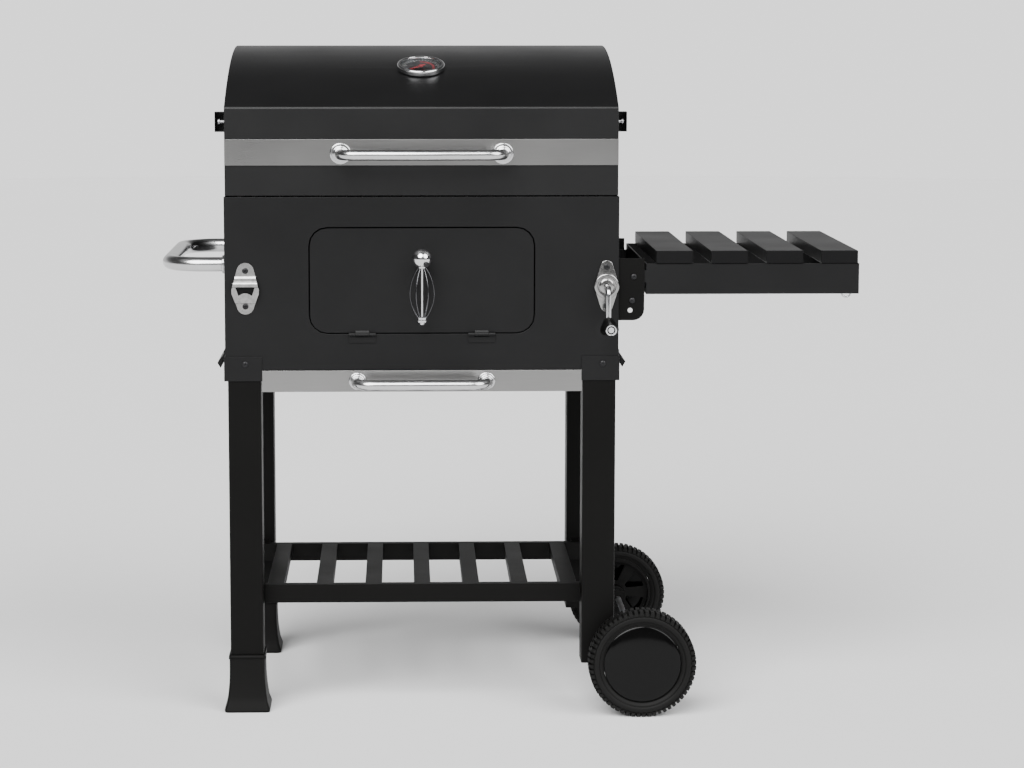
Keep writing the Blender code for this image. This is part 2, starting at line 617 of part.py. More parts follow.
def lid_hinge(side, x):
    """One rear hinge: the cart's leaf with its pin, and the lid's leaf with a bored knuckle."""
    y, z = LID_PIVOT
    wall = BOX_DEPTH + GAP
    half, gap, knuckle = 0.030, 0.0115, 0.0045
    fixed = [rod("x", LID_PIVOT, knuckle, x + low, x + high, 16)
             for low, high in ((-half, -gap - GAP), (gap + GAP, half))]
    webs = [block((x + low, wall, z - 0.010), (x + high, wall + SHEET, z))
            for low, high in ((-half, -gap - GAP), (gap + GAP, half))]
    pin = rod("x", LID_PIVOT, 0.0020, x - half + 0.001, x + half - 0.001, 12)
    leaf = block((x - half, wall, 0.812), (x + half, wall + SHEET, z - 0.006))
    add(f"lid_hinge_bracket_{side}", join(leaf, *webs, *fixed, pin), "zinc")
    upper = block((x - half, wall, z + 0.0065), (x + half, wall + SHEET, 0.886))
    neck = block((x - gap, wall, z), (x + gap, wall + SHEET, z + 0.008))
    moving = join(upper, neck, rod("x", LID_PIVOT, knuckle, x - gap, x + gap, 16))
    bored = cut(moving, rod("x", LID_PIVOT, 0.0020 + GAP, x - 0.02, x + 0.02, 12))
    add(f"lid_hinge_leaf_{side}", bored, "zinc", (x, y, z))


# ---- the door, the drawer and the charcoal lift -------------------------------------------------
def fire_door():
    """Front door that drops open on two bottom hinges, and its turning latch."""
    y, z = DOOR_PIVOT
    hinge_x = (-DOOR_HINGE_X, DOOR_HINGE_X)
    panel = prism(rounded((-DOOR_HALF, DOOR_Z[0]), (DOOR_HALF, DOOR_Z[1]), DOOR_CORNER), "y", 0, SHEET)
    half, gap = DOOR_HINGE_WIDTH / 2, 0.011
    hole = rod("y", (0, LATCH_Z), 0.0036, -0.01, 0.01)
    necks = [prism([(-0.0045, z), (-0.0030, z), (0.0005, z + 0.0040), (0.0005, z + 0.0060),
                    (-0.0010, z + 0.0060)], "x", x - gap, x + gap) for x in hinge_x]
    knuckles = [rod("x", DOOR_PIVOT, 0.0030, x - gap, x + gap) for x in hinge_x]
    bores = [rod("x", DOOR_PIVOT, 0.0015, x - gap - 0.01, x + gap + 0.01, 10) for x in hinge_x]
    add("fire_door", cut(join(cut(panel, hole), *necks, *knuckles), *bores), "enamel", (0, y, z))
    for side, x in zip(("left", "right"), hinge_x):
        spans = ((-half, -gap - GAP), (gap + GAP, half))
        ends = [rod("x", DOOR_PIVOT, 0.0030, x + low, x + high) for low, high in spans]
        webs = [block((x + low, -0.0018, z - 0.012), (x + high, -GAP, z)) for low, high in spans]
        leaf = block((x - half, -0.0018, z - 0.014), (x + half, -GAP, z - 0.0045))
        pin = rod("x", DOOR_PIVOT, 0.0011, x - half + 0.001, x + half - 0.001, 10)
        add(f"door_hinge_{side}", join(leaf, *webs, *ends, pin), "enamel")
    door_latch()


def door_latch():
    """Ball and wire-cage lever on a spindle through the door, with a tongue inside."""
    cage_y = -0.035
    spindle = rod("y", (0, LATCH_Z), 0.0030, -0.030, 0.0070)
    tongue = block((-0.008, 0.0045, LATCH_Z - 0.006), (0.008, 0.0060, LATCH_Z + 0.045))
    ball = lathe([(0.016 * math.sin(math.radians(a)), -0.016 * math.cos(math.radians(a)))
                  for a in range(0, 181, 20)], 16, (0, -0.031, LATCH_Z), (0, 0, 1))
    top, bottom = LATCH_Z - 0.013, 0.655
    collar = rod("z", (0, cage_y), 0.0065, top - 0.007, top + 0.006, 12)
    cap = rod("z", (0, cage_y), 0.0065, 0.645, bottom + 0.003, 12)
    wires = []
    for number in range(6):
        turn = math.radians(60 * number)
        stations = []
        for step in range(8):
            share = step / 7
            out = 0.004 + 0.0155 * math.sin(math.pi * share) ** 0.8
            height = top - 0.004 + (bottom - top + 0.004) * share
            stations.append(((out * math.cos(turn), cage_y + out * math.sin(turn), height), 0.0012))
        wires.append(sweep(stations, (-math.sin(turn), math.cos(turn), 0), 5))
    add("door_latch", join(collar, *wires, cap, ball, spindle, tongue), "chrome", (0, 0, LATCH_Z))


def ash_drawer():
    """Tray on runners under the firebox, with a bright front and a tube handle."""
    low, high = DRAWER_Z[0] + 0.002, 0.560
    front = THIN + GAP
    tray = cut(block((-TRAY_HALF, front, low), (TRAY_HALF, 0.385, high)),
               block((-TRAY_HALF + THIN, front + THIN, low + THIN),
                     (TRAY_HALF - THIN, 0.385 - THIN, high + 0.01)))
    lips = [block((TRAY_HALF - 0.001, 0.060, high - THIN), (0.250, 0.385, high)),
            block((-0.250, 0.060, high - THIN), (-TRAY_HALF + 0.001, 0.385, high))]
    add("ash_tray", join(tray, *lips), "zinc")
    add("drawer_front", block((-DRAWER_HALF, 0, DRAWER_Z[0]), (DRAWER_HALF, THIN, DRAWER_Z[1])),
        "stainless")
    middle = sum(DRAWER_Z) / 2
    add("drawer_handle", handle(DRAWER_HANDLE_HALF, middle, -GAP, HANDLE_STANDOFF,
                                rosette=0.0145), "chrome")


def crank():
    """Crank on the front right: plate, bent rod with its pinion, and a turning grip."""
    x, z = CRANK_X, CRANK_Z
    plate = bmesh.new()
    for centre, radius in (((x, z), 0.0185), ((x, z + 0.034), 0.008), ((x, z - 0.034), 0.008)):
        for y in (-0.0023, -GAP):
            for a, b in circle(centre, radius, 20):
                plate.verts.new((a, y, b))
    hull = bmesh.ops.convex_hull(plate, input=plate.verts)
    loose = [item for item in hull["geom_interior"] + hull["geom_unused"]
             if isinstance(item, bmesh.types.BMVert)]
    bmesh.ops.delete(plate, geom=list(set(loose)), context="VERTS")
    boss = rod("y", (x, z), 0.0205, -0.0070, -GAP, 28)
    bore = rod("y", (x, z), ROD_RADIUS + GAP, -0.02, 0.02)
    add("crank_plate", cut(join(plate, boss), bore), "stainless")
    bend, arm_z = 0.012, z - CRANK_ARM
    path = [(BOX_DEPTH - 0.0005, z)]
    path += [(b, a) for a, b in reversed(arc((z - bend, CRANK_ARM_Y + bend), bend, 270, 360, 5))]
    path += [(CRANK_ARM_Y - bend + bend * math.cos(math.radians(a)),
              arm_z + bend - bend * math.sin(math.radians(a))) for a in (0, 18, 36, 54, 72, 90)]
    path.append((GRIP_END_Y + 0.0015, arm_z))
    rod_shape = sweep([((x, y, height), ROD_RADIUS) for y, height in path], (1, 0, 0), 12)
    add("crank_rod", rod_shape, "chrome", (x, 0, z))
    start = CRANK_ARM_Y - bend - 0.0010
    bore_radius = ROD_RADIUS + GAP
    grip = [(bore_radius, 0), (0.0130, 0), (0.0160, 0.004), (0.0160, 0.010), (0.0110, 0.021),
            (0.0092, 0.030), (0.0092, 0.043), (0.0085, start - GRIP_END_Y),
            (bore_radius, start - GRIP_END_Y)]
    add("crank_grip", lathe(grip, 20, (x, start, arm_z), (0, -1, 0), closed=True), "plastic",
        (x, 0, arm_z))
    lift_gear()


def lift_gear():
    """Pinion on the crank's rod, and the toothed rack that it lifts the charcoal pan by."""
    x, z = CRANK_X, CRANK_Z
    pitch = math.tau * GEAR_RADIUS / GEAR_TEETH
    root, tip = GEAR_RADIUS - 0.0026, GEAR_RADIUS + 0.0016
    teeth = []
    for tooth in range(GEAR_TEETH):
        middle = 180 + (tooth + 0.5) * 360 / GEAR_TEETH
        for radius, spread in ((root, -8.5), (tip, -2.6), (tip, 2.6), (root, 8.5)):
            angle = math.radians(middle + spread)
            teeth.append((x + radius * math.cos(angle), z + radius * math.sin(angle)))
    wheel_shape = prism(teeth, "y", *GEAR_Y)
    bore = rod("y", (x, z), ROD_RADIUS + GAP, GEAR_Y[0] - 0.01, GEAR_Y[1] + 0.01)
    add("lift_pinion", cut(wheel_shape, bore), "zinc", (x, 0, z))
    back, foot_line, tip_line = PAN_HALF + GAP, x - GEAR_RADIUS - 0.0026, x - GEAR_RADIUS + 0.0016
    first, last = -17, 1
    outline = [(back, z + (first - 0.5) * pitch), (foot_line, z + (first - 0.5) * pitch)]
    for tooth in range(first, last + 1):
        for line, spread in ((foot_line, -0.27), (tip_line, -0.09), (tip_line, 0.09), (foot_line, 0.27)):
            outline.append((line, z + (tooth + spread) * pitch))
    outline += [(foot_line, z + (last + 0.5) * pitch), (back, z + (last + 0.5) * pitch)]
    add("lift_rack", prism(outline, "y", *GEAR_Y), "zinc")


def charcoal_pan():
    """Tray for the charcoal, with slots in its floor, that the crank lifts."""
    pan = cut(block((-PAN_HALF, PAN_Y[0], PAN_Z[0]), (PAN_HALF, PAN_Y[1], PAN_Z[1])),
              block((-PAN_HALF + THIN, PAN_Y[0] + THIN, PAN_Z[0] + THIN),
                    (PAN_HALF - THIN, PAN_Y[1] - THIN, PAN_Z[1] + 0.01)))
    slots = [block((-0.240 + 0.060 * n, 0.080, 0.60), (-0.240 + 0.060 * n + 0.008, 0.365, 0.62))
             for n in range(9)]
    add("charcoal_pan", cut(pan, *slots), "cast_iron")


# ---- the fold-down shelf and the air flaps --------------------------------------------------------
def side_shelf():
    """Pressed frame on two ears, four slats across it and a row of hooks on its outer end."""
    pivot = (SHELF_PIVOT[0], 0, SHELF_PIVOT[1])
    low, high = SHELF_FRAME_Z
    y = (SHELF_Y[0] + SHEET + GAP, SHELF_Y[1] - SHEET - GAP)
    lip = 0.012
    frame = cut(block((SHELF_X[0], y[0], low), (SHELF_X[1], y[1], high)),
                block((SHELF_X[0] + SHEET, y[0] + SHEET, low + SHEET),
                      (SHELF_X[1] - SHEET, y[1] - SHEET, high + 0.01)),
                block((SHELF_X[0] + lip, y[0] + lip, low - 0.01),
                      (SHELF_X[1] - lip, y[1] - lip, low + 0.01)))
    x, z = SHELF_PIVOT
    ear = [(SHELF_X[0] + 0.001, z - 0.010), (SHELF_X[0] + 0.001, z + 0.010)]
    ear += arc((x, z), 0.010, 90, 270, 8)
    ears = [prism(ear, "y", y[0], y[0] + SHEET), prism(ear, "y", y[1] - SHEET, y[1])]
    pin_holes = rod("y", (x, z), 0.0030 + GAP, y[0] - 0.01, y[1] + 0.01)
    add("shelf_frame", cut(join(frame, *ears), pin_holes), "enamel", pivot)
    for number, middle in enumerate(SHELF_SLAT_X, 1):
        half = SHELF_SLAT_WIDTH / 2
        slat = cut(block((middle - half, SHELF_Y[0], high + GAP), (middle + half, SHELF_Y[1], SHELF_TOP)),
                   block((middle - half + THIN, SHELF_Y[0] + THIN, high - 0.01),
                         (middle + half - THIN, SHELF_Y[1] - THIN, SHELF_TOP - THIN)))
        add(f"shelf_slat_{number}", slat, "coated", pivot)
    hook_rail(pivot)


def hook_rail(pivot):
    """Strip with three tool hooks on the shelf's outer end."""
    wall = SHELF_X[1] + GAP
    strip = block((wall, HOOK_Y[0] - 0.018, 0.697), (wall + THIN, HOOK_Y[-1] + 0.018, 0.713))
    hooks = []
    for y in HOOK_Y:
        path = [(wall + 0.0005, 0.705), (wall + 0.003, 0.705), (wall + 0.005, 0.702),
                (wall + 0.005, 0.672)]
        path += arc((wall + 0.0130, 0.671), 0.008, 180, 350, 5)
        path.append((RIGHT_END - 0.0016, 0.676))
        hooks.append(sweep([((x, y, z), 0.0015) for x, z in path], (0, 1, 0), 6))
    add("hook_rail", join(strip, *hooks), "chrome", pivot)


def air_flaps():
    """Hinged scoop-shaped flaps over the air slots low on the firebox's two ends."""
    x, z = FLAP_PIVOT
    tip, lip = (x + FLAP_TIP[0], z + FLAP_TIP[1]), (x + FLAP_LIP[0], z + FLAP_LIP[1])
    hollow = [(tip[0] - 0.0018, tip[1]), (x + 0.0013, z - 0.0357), (x - 0.0060, z + 0.0057)]
    for side, sign in (("left", -1), ("right", 1)):
        scoop = cut(prism([(x, z), tip, lip], "y", *FLAP_Y),
                    prism(hollow, "y", FLAP_Y[0] + THIN, FLAP_Y[1] - THIN))
        bm = join(scoop, rod("y", (x, z), 0.0030, *FLAP_Y))
        if sign < 0:
            bm = mirrored(bm)
        add(f"air_flap_{side}", bm, "enamel", (sign * x, 0, z))


def main():
    """Clear the scene and build the cart."""
    for obj in list(bpy.data.objects):
        bpy.data.objects.remove(obj)
    firebox()
    legs()
    rack()
    running_gear()
    side_handle()
    bottle_opener()
    shelf_brackets()
    grates()
    lid()
    fire_door()
    ash_drawer()
    crank()
    charcoal_pan()
    side_shelf()
    air_flaps()


main()
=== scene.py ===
"""Looks of a charcoal grill cart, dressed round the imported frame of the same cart."""
import json
import logging
import math
from dataclasses import dataclass, field
from enum import Enum
from typing import Iterable, Sequence

import bmesh
import bpy
from mathutils import Matrix, Vector


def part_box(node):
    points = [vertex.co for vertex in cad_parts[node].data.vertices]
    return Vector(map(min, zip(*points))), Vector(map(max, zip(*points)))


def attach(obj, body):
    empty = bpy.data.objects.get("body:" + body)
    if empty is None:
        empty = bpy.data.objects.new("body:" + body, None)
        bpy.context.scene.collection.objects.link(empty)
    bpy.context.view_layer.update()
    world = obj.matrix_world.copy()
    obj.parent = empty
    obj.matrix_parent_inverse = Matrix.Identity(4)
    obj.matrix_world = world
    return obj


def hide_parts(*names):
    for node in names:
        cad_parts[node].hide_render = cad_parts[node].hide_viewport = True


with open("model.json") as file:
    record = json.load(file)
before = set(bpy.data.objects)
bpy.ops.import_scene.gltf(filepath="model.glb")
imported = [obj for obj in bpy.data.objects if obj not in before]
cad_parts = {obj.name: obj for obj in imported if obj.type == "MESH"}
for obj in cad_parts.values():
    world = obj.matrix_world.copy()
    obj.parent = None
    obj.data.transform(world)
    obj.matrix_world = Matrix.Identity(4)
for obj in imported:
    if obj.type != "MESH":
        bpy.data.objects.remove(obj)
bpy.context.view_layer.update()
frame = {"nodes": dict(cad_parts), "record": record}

LOG = logging.getLogger("grill_cart")
Outline = Sequence[tuple[float, float]]
Shape = bmesh.types.BMesh
Tree = bpy.types.NodeTree
Socket = bpy.types.NodeSocket
UP = Vector((0, 0, 1))
RIGHT = Vector((1, 0, 0))
FRONT = Vector((0, -1, 0))
BACK = Vector((0, 1, 0))


# ---- finishes ---------------------------------------------------------------------------------
class Grain(Enum):
    """How the fine pattern of a finish is stretched along the cart's axes."""

    EVEN = (1.0, 1.0, 1.0)
    ALONG_X = (0.012, 1.0, 1.0)


@dataclass(frozen=True)
class Finish:
    """One surface finish, made from noise in object coordinates.

    Args:
        name: material name.
        slot: slot of the record that the finish belongs to; not used.
        colour: linear base colour.
        roughness: lowest and highest roughness over the surface.
        metallic: how metallic the surface is.
        patch: share by which broad patches darken or lighten the colour.
        patch_size: rough size of those patches, metres.
        grain: how the fine pattern runs.
        grain_size: size of the fine pattern, metres.
        bump: strength of the relief that the fine pattern gives.
        depth: height of that relief, metres.
        anisotropy: stretch of the highlights on brushed metal.
        specular: strength of the reflection that a coated surface gives.
    """

    name: str
    slot: str
    colour: tuple[float, float, float]
    roughness: tuple[float, float]
    metallic: float = 0.0
    patch: float = 0.12
    patch_size: float = 0.12
    grain: Grain = Grain.EVEN
    grain_size: float = 0.0012
    bump: float = 0.15
    depth: float = 0.0001
    anisotropy: float = 0.0
    specular: float = 0.5

    def material(self) -> bpy.types.Material:
        """Build the material once and return it.

        Returns:
            The finish's material.
        """
        known = bpy.data.materials.get(self.name)
        if known:
            return known
        material = bpy.data.materials.new(self.name)
        material.use_nodes = True
        tree = material.node_tree
        shader = tree.nodes["Principled BSDF"]
        place = tree.nodes.new("ShaderNodeTexCoord").outputs["Object"]
        broad = self._noise(tree, place, 1.0 / self.patch_size, Grain.EVEN)
        fine = self._noise(tree, place, 1.0 / self.grain_size, self.grain)
        self._colour(tree, shader, broad, fine)
        self._roughness(tree, shader, broad, fine)
        self._relief(tree, shader, fine)
        shader.inputs["Metallic"].default_value = self.metallic
        shader.inputs["Specular IOR Level"].default_value = self.specular
        shader.inputs["Anisotropic"].default_value = self.anisotropy
        return material

    def _noise(self, tree: Tree, place: Socket, scale: float,
               grain: Grain) -> Socket:
        """Noise over the surface, from 0 to 1, stretched as the grain says."""
        mapping = tree.nodes.new("ShaderNodeMapping")
        mapping.inputs["Scale"].default_value = grain.value
        noise = tree.nodes.new("ShaderNodeTexNoise")
        noise.inputs["Scale"].default_value = scale
        noise.inputs["Detail"].default_value = 3.0
        tree.links.new(place, mapping.inputs["Vector"])
        tree.links.new(mapping.outputs["Vector"], noise.inputs["Vector"])
        return noise.outputs["Fac"]

    def _colour(self, tree: Tree, shader: bpy.types.Node,
                broad: Socket, fine: Socket) -> None:
        """Join broad patches and fine grain to the base colour."""
        both = self._blend(tree, broad, fine, 0.35)
        ramp = tree.nodes.new("ShaderNodeValToRGB")
        for stop, place, share in zip(ramp.color_ramp.elements, (0.30, 0.70), (-1, 1)):
            stop.position = place
            stop.color = (*[min(1.0, value * (1 + share * self.patch)) for value in self.colour], 1.0)
        tree.links.new(both, ramp.inputs["Fac"])
        tree.links.new(ramp.outputs["Color"], shader.inputs["Base Color"])

    def _roughness(self, tree: Tree, shader: bpy.types.Node,
                   broad: Socket, fine: Socket) -> None:
        """Vary the roughness between its two limits."""
        spread = tree.nodes.new("ShaderNodeMapRange")
        spread.inputs["From Min"].default_value = 0.30
        spread.inputs["From Max"].default_value = 0.70
        spread.inputs["To Min"].default_value = self.roughness[0]
        spread.inputs["To Max"].default_value = self.roughness[1]
        tree.links.new(self._blend(tree, broad, fine, 0.5), spread.inputs["Value"])
        tree.links.new(spread.outputs["Result"], shader.inputs["Roughness"])

    def _blend(self, tree: Tree, first: Socket,
               second: Socket, share: float) -> Socket:
        """Mix two patterns; share is the second one's part."""
        mix = tree.nodes.new("ShaderNodeMix")
        mix.data_type = "FLOAT"
        mix.inputs[0].default_value = share
        tree.links.new(first, mix.inputs[2])
        tree.links.new(second, mix.inputs[3])
        return mix.outputs[0]

    def _relief(self, tree: Tree, shader: bpy.types.Node,
                fine: Socket) -> None:
        """Raise the fine pattern as bump."""
        bump = tree.nodes.new("ShaderNodeBump")
        bump.inputs["Strength"].default_value = self.bump
        bump.inputs["Distance"].default_value = self.depth
        tree.links.new(fine, bump.inputs["Height"])
        tree.links.new(bump.outputs["Normal"], shader.inputs["Normal"])


@dataclass(frozen=True)
class ClearGlass(Finish):
    """Dial glass: clear, with a faint smear in its roughness."""

    transmission: float = 1.0

    def material(self) -> bpy.types.Material:
        """Build the glass on top of the plain finish."""
        material = super().material()
        shader = material.node_tree.nodes["Principled BSDF"]
        shader.inputs["Transmission Weight"].default_value = self.transmission
        shader.inputs["IOR"].default_value = 1.45
        return material


ENAMEL = Finish("satin_black_enamel", "enamel", (0.0042, 0.0042, 0.0044), (0.38, 0.50),
                grain_size=0.0016, bump=0.10, depth=0.00008, specular=0.20)
# Copy of the satin enamel for the lid, glossier and a little lighter in colour; the lighter colour is
# painted light for the brighter roof.
LID_ENAMEL_PAINTED_LIGHT = Finish("lid_enamel_painted_light", "enamel", (0.0046, 0.0046, 0.0048), (0.34, 0.44),
                    grain_size=0.0018, bump=0.08, depth=0.00008, specular=0.28)
FRAME_PAINT = Finish("frame_powder_coat", "frame_paint", (0.0022, 0.0021, 0.0019), (0.42, 0.58),
                     grain_size=0.0010, bump=0.22, depth=0.0001, specular=0.10)
# Copy of the frame paint for the slats, nearly three times lighter; the lighter colour is painted light
# on their upward faces.
SLAT_PAINT_PAINTED_LIGHT = Finish("slat_powder_coat_painted_light", "frame_paint", (0.0062, 0.0062, 0.0064), (0.36, 0.48),
                    grain_size=0.0009, bump=0.25, depth=0.0001, specular=0.07)
STAINLESS = Finish("brushed_stainless", "stainless", (0.29, 0.288, 0.284), (0.26, 0.40), 1.0,
                   patch=0.10, patch_size=0.20, grain=Grain.ALONG_X, grain_size=0.0006, bump=0.25,
                   depth=0.00004, anisotropy=0.55)
TUBE_STEEL = Finish("polished_tube", "chrome", (0.58, 0.58, 0.585), (0.16, 0.26), 1.0, patch=0.06,
                    patch_size=0.06, grain_size=0.0012, bump=0.06, depth=0.00003)
PLATE_STEEL = Finish("pressed_bright_steel", "stainless", (0.34, 0.337, 0.333), (0.13, 0.24), 1.0,
                     patch=0.25, patch_size=0.006, grain_size=0.0012, bump=0.35, depth=0.00006)
CHROME = Finish("polished_chrome", "chrome", (0.70, 0.70, 0.71), (0.06, 0.14), 1.0,
                patch=0.05, patch_size=0.05, grain_size=0.0020, bump=0.04, depth=0.00003)
DULL_CHROME = Finish("dull_chrome_wire", "chrome", (0.10, 0.10, 0.105), (0.16, 0.28), 1.0,
                     patch=0.10, patch_size=0.03, bump=0.05, depth=0.00003)
ZINC = Finish("zinc_plate", "zinc", (0.40, 0.40, 0.41), (0.32, 0.52), 1.0, patch=0.20,
              patch_size=0.015, grain_size=0.0030, bump=0.10, depth=0.00005)
IRON = Finish("enamelled_cast_iron", "cast_iron", (0.016, 0.0155, 0.015), (0.45, 0.70), patch=0.25,
              patch_size=0.05, grain_size=0.0014, bump=0.45, depth=0.0003)
SCREW_BLACK = Finish("black_screw", "enamel", (0.010, 0.010, 0.011), (0.26, 0.40), patch=0.2,
                     patch_size=0.01, bump=0.08, depth=0.00005, specular=0.28)
PLASTIC = Finish("moulded_black_plastic", "plastic", (0.0024, 0.0023, 0.0021), (0.44, 0.58),
                 grain_size=0.0007, bump=0.30, depth=0.00008, specular=0.12)
GLOSS_PLASTIC = Finish("gloss_black_plastic", "plastic", (0.0009, 0.0009, 0.0009), (0.10, 0.16),
                       patch=0.15, bump=0.03, depth=0.00004, specular=0.18)
RUBBER = Finish("black_tyre", "tyre", (0.0036, 0.0035, 0.0033), (0.50, 0.70), patch=0.22,
                patch_size=0.03, grain_size=0.0008, bump=0.35, depth=0.0001, specular=0.14)
DIAL = Finish("dial_face", "plastic", (0.020, 0.020, 0.022), (0.35, 0.45), patch=0.10,
              patch_size=0.01, bump=0.05, depth=0.00003)
DIAL_MARK = Finish("dial_marks", "needle", (0.62, 0.60, 0.58), (0.40, 0.50), patch=0.05,
                   patch_size=0.01, bump=0.03, depth=0.00002)
DIAL_RED = Finish("dial_red", "needle", (0.50, 0.035, 0.045), (0.38, 0.48), patch=0.10,
                  patch_size=0.006, bump=0.03, depth=0.00002)
GLASS = ClearGlass("dial_glass", "glass", (0.90, 0.93, 0.94), (0.02, 0.05), patch=0.01,
                   patch_size=0.03, bump=0.01, depth=0.00001)


# ---- shapes -----------------------------------------------------------------------------------
def arc(centre: tuple[float, float], radius: float, start: float, end: float,
        steps: int) -> list[tuple[float, float]]:
    """Points on a circle from one angle to another.

    Args:
        centre: the circle's centre.
        radius: its radius.
        start: first angle, degrees.
        end: last angle, degrees.
        steps: number of steps between them.

    Returns:
        The points, both ends included.
    """
    angles = [math.radians(start + (end - start) * step / steps) for step in range(steps + 1)]
    return [(centre[0] + radius * math.cos(a), centre[1] + radius * math.sin(a)) for a in angles]


def facing(direction: Vector, place: Vector) -> Matrix:
    """Matrix that takes +Z to a direction and the origin to a place."""
    return Matrix.Translation(place) @ direction.to_track_quat("Z", "Y").to_matrix().to_4x4()


def new_faces(grown: dict, kind: type) -> list:
    """The elements of one kind that an operator returned."""
    return [item for item in grown["geom"] if isinstance(item, kind)]


def grow(bm: Shape, face: bmesh.types.BMFace) -> bmesh.types.BMFace:
    """Extrude a bar's end face in place; the very first face stays as its cap.

    Returns:
        The new end face.
    """
    first = len(bm.faces) == 1
    grown = bmesh.ops.extrude_face_region(bm, geom=[face])
    if not first:
        bmesh.ops.delete(bm, geom=[face], context="FACES_ONLY")
    return new_faces(grown, bmesh.types.BMFace)[0]


def prism(outline: Outline, depth: float, frame_matrix: Matrix) -> Shape:
    """Flat outline in x and y, extruded by depth along z, then placed by a matrix."""
    bm = bmesh.new()
    face = bm.faces.new([bm.verts.new((a, b, 0)) for a, b in outline])
    end = grow(bm, face)
    bmesh.ops.translate(bm, vec=(0, 0, depth), verts=end.verts)
    bmesh.ops.recalc_face_normals(bm, faces=bm.faces)
    bmesh.ops.transform(bm, matrix=frame_matrix, verts=bm.verts)
    return bm


def lathe(profile: Outline, steps: int, place: Vector, direction: Vector,
          closed: bool = False) -> Shape:
    """Profile of (radius, height) points turned about an axis.

    Args:
        profile: points from one end of the axis to the other, or round a closed section.
        steps: number of faces round the axis.
        place: a point on the axis, where the height is 0.
        direction: the way that heights grow.
        closed: whether the last point joins the first.

    Returns:
        The turned solid.
    """
    bm = bmesh.new()
    verts = [bm.verts.new((radius, 0, height)) for radius, height in profile]
    ends = verts[1:] + verts[:1] if closed else verts[1:]
    edges = [bm.edges.new(pair) for pair in zip(verts, ends)]
    bmesh.ops.spin(bm, geom=verts + edges, cent=(0, 0, 0), axis=(0, 0, 1), angle=math.tau,
                   steps=steps, use_merge=True)
    bmesh.ops.remove_doubles(bm, verts=bm.verts, dist=1e-6)
    bmesh.ops.recalc_face_normals(bm, faces=bm.faces)
    bmesh.ops.transform(bm, matrix=facing(direction, place), verts=bm.verts)
    return bm


def sweep(stations: Sequence[tuple[Vector, float]], side: Vector, sides: int) -> Shape:
    """Round bar through stations that lie in one plane.

    Args:
        stations: centre and radius of each ring.
        side: normal of the plane that the stations lie in.
        sides: number of faces round the bar.

    Returns:
        The closed bar.
    """
    points = [Vector(point) for point, _ in stations]
    frames = []
    for index, (point, radius) in enumerate(stations):
        before = [p for p in points[:index] if (p - points[index]).length > 1e-5]
        after = [p for p in points[index + 1:] if (p - points[index]).length > 1e-5]
        arrive = (points[index] - before[-1]).normalized() if before else Vector()
        leave = (after[0] - points[index]).normalized() if after else Vector()
        along = (arrive + leave).normalized()
        across = side.cross(along)
        turn = Matrix((across * radius, side * radius, along)).transposed().to_4x4()
        frames.append(Matrix.Translation(points[index]) @ turn)
    bm = bmesh.new()
    bmesh.ops.create_circle(bm, cap_ends=True, radius=1.0, segments=sides, matrix=frames[0])
    face = bm.faces[:][0]
    for last, here in zip(frames, frames[1:]):
        face = grow(bm, face)
        bmesh.ops.transform(bm, matrix=here @ last.inverted(), verts=face.verts)
    bmesh.ops.recalc_face_normals(bm, faces=bm.faces)
    return bm


def block(low: Sequence[float], high: Sequence[float], soften: float = 0.0005) -> Shape:
    """Box between two corners with softened edges."""
    bm = bmesh.new()
    low, high = Vector(low), Vector(high)
    place = Matrix.Translation((low + high) / 2) @ Matrix.Diagonal((*(high - low), 1.0))
    bmesh.ops.create_cube(bm, size=1.0, matrix=place)
    return softened(bm, soften)


def softened(bm: Shape, width: float, sharp: float = 40.0, segments: int = 2,
             clamp: bool = False) -> Shape:
    """Bevel every edge sharper than an angle in degrees."""
    limit = math.radians(sharp)
    edges = [edge for edge in bm.edges if edge.is_manifold and edge.calc_face_angle(0.0) > limit]
    bmesh.ops.bevel(bm, geom=edges, offset=width, offset_type="OFFSET", segments=segments,
                    profile=0.5, affect="EDGES", material=-1, clamp_overlap=clamp)
    return bm


def stored(name: str, bm: Shape) -> bpy.types.Mesh:
    """Move a shape into a new mesh and free it."""
    mesh = bpy.data.meshes.new(name)
    bm.to_mesh(mesh)
    bm.free()
    return mesh


def linked(name: str, data: bpy.types.ID) -> bpy.types.Object:
    """Make an object for a mesh, light or camera and link it to the scene."""
    item = bpy.data.objects.new(name, data)
    bpy.context.collection.objects.link(item)
    return item


def merged(parts: Iterable[Shape]) -> Shape:
    """Put several shapes into one bmesh and free them."""
    whole = bmesh.new()
    for part in parts:
        mesh = stored("part", part)
        whole.from_mesh(mesh)
        bpy.data.meshes.remove(mesh)
    return whole


def carved(base: Shape, tools: Iterable[Shape]) -> Shape:
    """Cut closed tools out of a shape and free them all.

    Args:
        base: the shape.
        tools: the closed shapes to cut with.

    Returns:
        The new shape.
    """
    objects = [linked("part", stored("part", part)) for part in [base, *tools]]
    for cutter in objects[1:]:
        modifier = objects[0].modifiers.new("cut", "BOOLEAN")
        modifier.solver = "EXACT"
        modifier.object = cutter
    bpy.context.view_layer.update()
    result = bmesh.new()
    result.from_mesh(objects[0].evaluated_get(bpy.context.evaluated_depsgraph_get()).data)
    for item in objects:
        mesh = item.data
        bpy.data.objects.remove(item)
        bpy.data.meshes.remove(mesh)
    bmesh.ops.remove_doubles(result, verts=result.verts, dist=1e-5)
    return result


def screw_head(radius: float = 0.0042) -> Shape:
    """Pan-head screw with a cross recess, its underside on z = 0."""
    height = radius * 0.55
    slopes = [math.radians(angle) for angle in (18, 36, 54, 70, 82)]
    dome = [(0.0, height)]
    dome += [(radius * math.sin(slope), height * math.cos(slope) ** 0.6) for slope in slopes]
    dome += [(radius, 0.0), (0.0, 0.0)]
    head = lathe(dome, 24, Vector(), UP)
    arm, slit = radius * 0.52, radius * 0.15
    cuts = [block((-arm, -slit, height * 0.35), (arm, slit, height * 2), 0.0),
            block((-slit, -arm, height * 0.35), (slit, arm, height * 2), 0.0)]
    return carved(head, cuts)


